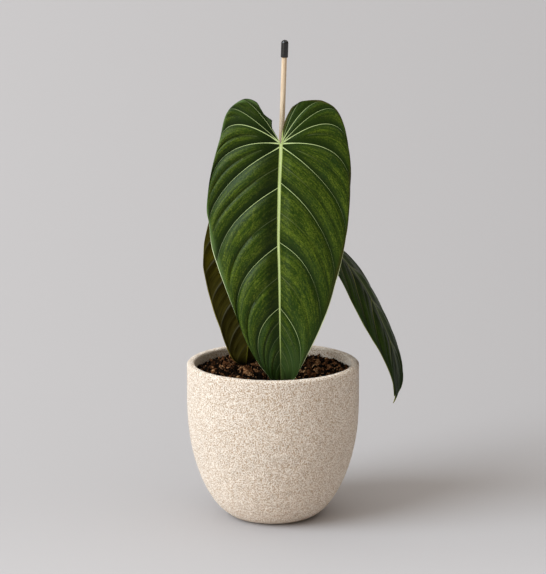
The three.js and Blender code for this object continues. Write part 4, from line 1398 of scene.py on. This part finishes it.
def leaves() -> list[Leaf]:
    """Gives the three leaves as they hang."""
    front = Leaf(
        name="blade_front", notch=(6.3, -24, 308.6), heading=-90, halves=(FRONT_RIGHT, FRONT_LEFT),
        grow=(1, 1), length=204,
        lean=Bend(((-40, 76), (0, 79), (60, 82), (120, 84), (160, 86), (176, 92), (186, 112), (196, 158),
                   (204, 172))),
        sway=Bend(((0, 0), (30, -1.4), (75, -2.3), (100, -1.5), (150, -0.9), (186, -0.1))),
        roll=Bend(((0, 0),)),
        folds=(Bend(((0, -6), (120, -6), (165, 0), (204, 1))),
               Bend(((0, -6), (120, -6), (165, 0), (204, 1)))),
        droop=0.06, thickness=0.8, channel=3.4, channel_mm=13, furrow=(0.12, 2.7), wave=0.9,
        shade=(0.6, 0.9), minor_depth=(0.25, 0.6), minor_shade=(0.1, 0.45),
        skin=MATURE_SKIN, slot="leaf", seed=SEED + 2)
    back = Leaf(
        name="blade_back", notch=(-5, 11, 252), heading=90, halves=(YOUNG_HALF, YOUNG_HALF),
        grow=(1, 0.955), length=139.4,
        lean=Bend(((-30, 84), (0, 88), (109, 88), (123, 85), (131, 40), (139.4, 10))),
        sway=Bend(((0, 0), (58, 6), (117, 16.5), (139.4, 18))), roll=Bend(((0, 0),)),
        folds=(Bend(((0, 2), (139.4, 2))), Bend(((0, 48), (96, 44), (139.4, 20)))),
        droop=0.05, thickness=0.7, furrow=(0.1, 1.8), wave=1,
        skin=YOUNG_SKIN, slot="young_leaf", seed=SEED + 4)
    right = Leaf(
        name="blade_right", notch=(45.4, 7.4, 223.7), heading=-8, halves=(FRONT_LEFT, FRONT_RIGHT),
        grow=(0.66, 0.725), length=148,
        lean=Bend(((-22, 41), (0, 45), (26, 49.5), (45, 58.5), (65, 64.5), (84, 66), (98, 72), (111, 78),
                   (121, 82.5), (132, 91), (140, 103), (148, 116))),
        sway=Bend(((0, 0),)), roll=Bend(((0, 0.4), (60, 1.6), (120, 6))),
        folds=(Bend(((0, -6), (105, -5.5), (122, 0), (135, 15))),
               Bend(((0, -3), (25, -8.5), (45, -12.5), (65, -14.5), (85, -17), (105, -16), (122, -14),
                     (135, -11)))),
        droop=0.02, thickness=0.7, furrow=(0.1, 1.6), wave=0.9,
        skin=YOUNG_SKIN, slot="young_leaf", seed=SEED + 6)
    return [front, back, right]


@dataclass(frozen=True)
class SoftLamp:
    """A wide soft light that is equally strong everywhere, placed by degrees from the front to the left."""

    name: str
    azimuth: float
    elevation: float
    width: float
    strength: float
    colour: str

    def build(self) -> None:
        """Adds the light."""
        data = bpy.data.lights.new(self.name, "SUN")
        data.angle = math.radians(self.width)
        data.energy = self.strength
        data.color = linear(self.colour)[:3]
        lamp = bpy.data.objects.new(self.name, data)
        lamp.rotation_euler = (math.radians(90 - self.elevation), 0.0, -math.radians(self.azimuth))
        bpy.context.scene.collection.objects.link(lamp)


@dataclass
class Studio:
    """A pale sheet, a wide soft light from the upper left, and the camera at the photograph's place."""

    sheet: str = "bbb7b6"
    sheet_right: str = "b0acab"
    sheet_near: str = "cac6c5"
    sheet_reach: float = 24.0
    lamps: tuple[SoftLamp, ...] = (
        SoftLamp("key", 62, 35, 40, 3.25, "e8f4ff"),
        SoftLamp("overhead", 0, 89, 100, 1.3, "fffefc"),
        SoftLamp("front_fill", 46, 8, 36, 0.65, "fff2e2"),
    )
    room: str = "fff6ec"
    room_strength: float = 0.3
    focal_px: float = 1954.0
    frame_height_px: float = 574.0
    distance: float = 1580.0
    pitch: float = 11.0
    aim_height: float = 189.5

    def camera(self) -> None:
        """Sets up the camera at the photograph's viewing angle."""
        data = bpy.data.cameras.new("camera")
        data.sensor_width = 36.0
        data.lens = self.focal_px / self.frame_height_px * data.sensor_width
        data.clip_end = 30.0
        tilt = math.radians(self.pitch)
        camera = bpy.data.objects.new("camera", data)
        camera.location = (0.0, -self.distance * math.cos(tilt) * MM,
                           (self.aim_height + self.distance * math.sin(tilt)) * MM)
        camera.rotation_euler = (math.pi / 2 - tilt, 0.0, 0.0)
        bpy.context.scene.collection.objects.link(camera)
        bpy.context.scene.camera = camera

    def backdrop(self) -> None:
        """Lays the wide pale sheet that the plant stands on."""
        material, add = new_material("studio_sheet")
        place = add("ShaderNodeTexCoord").outputs["Object"]
        spot = add("ShaderNodeSeparateXYZ", {0: place})
        away = add("ShaderNodeMath", {0: spot.outputs["Y"], 1: self.distance * MM}, operation="ADD")
        bearing = add("ShaderNodeMath", {0: spot.outputs["X"], 1: away}, operation="DIVIDE")
        # Painted light: the paper's colour darkens a little towards the right of the view, for the light's
        # falloff
        painted_falloff = add("ShaderNodeMapRange", {"Value": bearing, "From Min": -0.14, "From Max": 0.14})
        paper = add("ShaderNodeMix", {0: painted_falloff, 6: linear(self.sheet), 7: linear(self.sheet_right)},
                    data_type="RGBA")
        # Painted light: the paper is paler towards the front, for light that falls off with distance
        painted_near_light = add("ShaderNodeMapRange", {"Value": spot.outputs["Y"], "From Min": 0.05, "From Max": -0.35,
                                          "To Max": 0.8}, interpolation_type="SMOOTHSTEP")
        paper = add("ShaderNodeMix", {0: painted_near_light, 6: paper, 7: linear(self.sheet_near)}, data_type="RGBA")
        shader = add("ShaderNodeBsdfPrincipled", {"Base Color": paper, "Roughness": 0.9,
                                                  "Specular IOR Level": 0.1})
        add("ShaderNodeOutputMaterial", {"Surface": shader})
        reach = self.sheet_reach
        mesh = bpy.data.meshes.new("studio_sheet")
        mesh.from_pydata([(-reach, -reach, 0), (reach, -reach, 0), (reach, reach, 0), (-reach, reach, 0)],
                         [], [[0, 1, 2, 3]])
        mesh.materials.append(material)
        sheet = bpy.data.objects.new("studio_sheet", mesh)
        bpy.context.scene.collection.objects.link(sheet)

    def build(self) -> None:
        """Sets the stage."""
        self.camera()
        self.backdrop()
        for lamp in self.lamps:
            lamp.build()
        world = bpy.data.worlds.new("soft_room")
        world.use_nodes = True
        room = world.node_tree.nodes["Background"]
        room.inputs["Color"].default_value = linear(self.room)
        room.inputs["Strength"].default_value = self.room_strength
        bpy.context.scene.world = world
        bpy.context.scene.view_settings.view_transform = "Standard"


def main() -> None:
    """Builds the studio and the plant in order."""
    logging.basicConfig(level=logging.INFO, format="%(name)s %(message)s")
    Studio().build()
    pot = Pot()
    pot.build()
    SoilBed(pot).build()
    SupportStick().build()
    Stalks().build()
    for leaf in leaves():
        leaf.build()


if __name__ == "__main__":
    main()
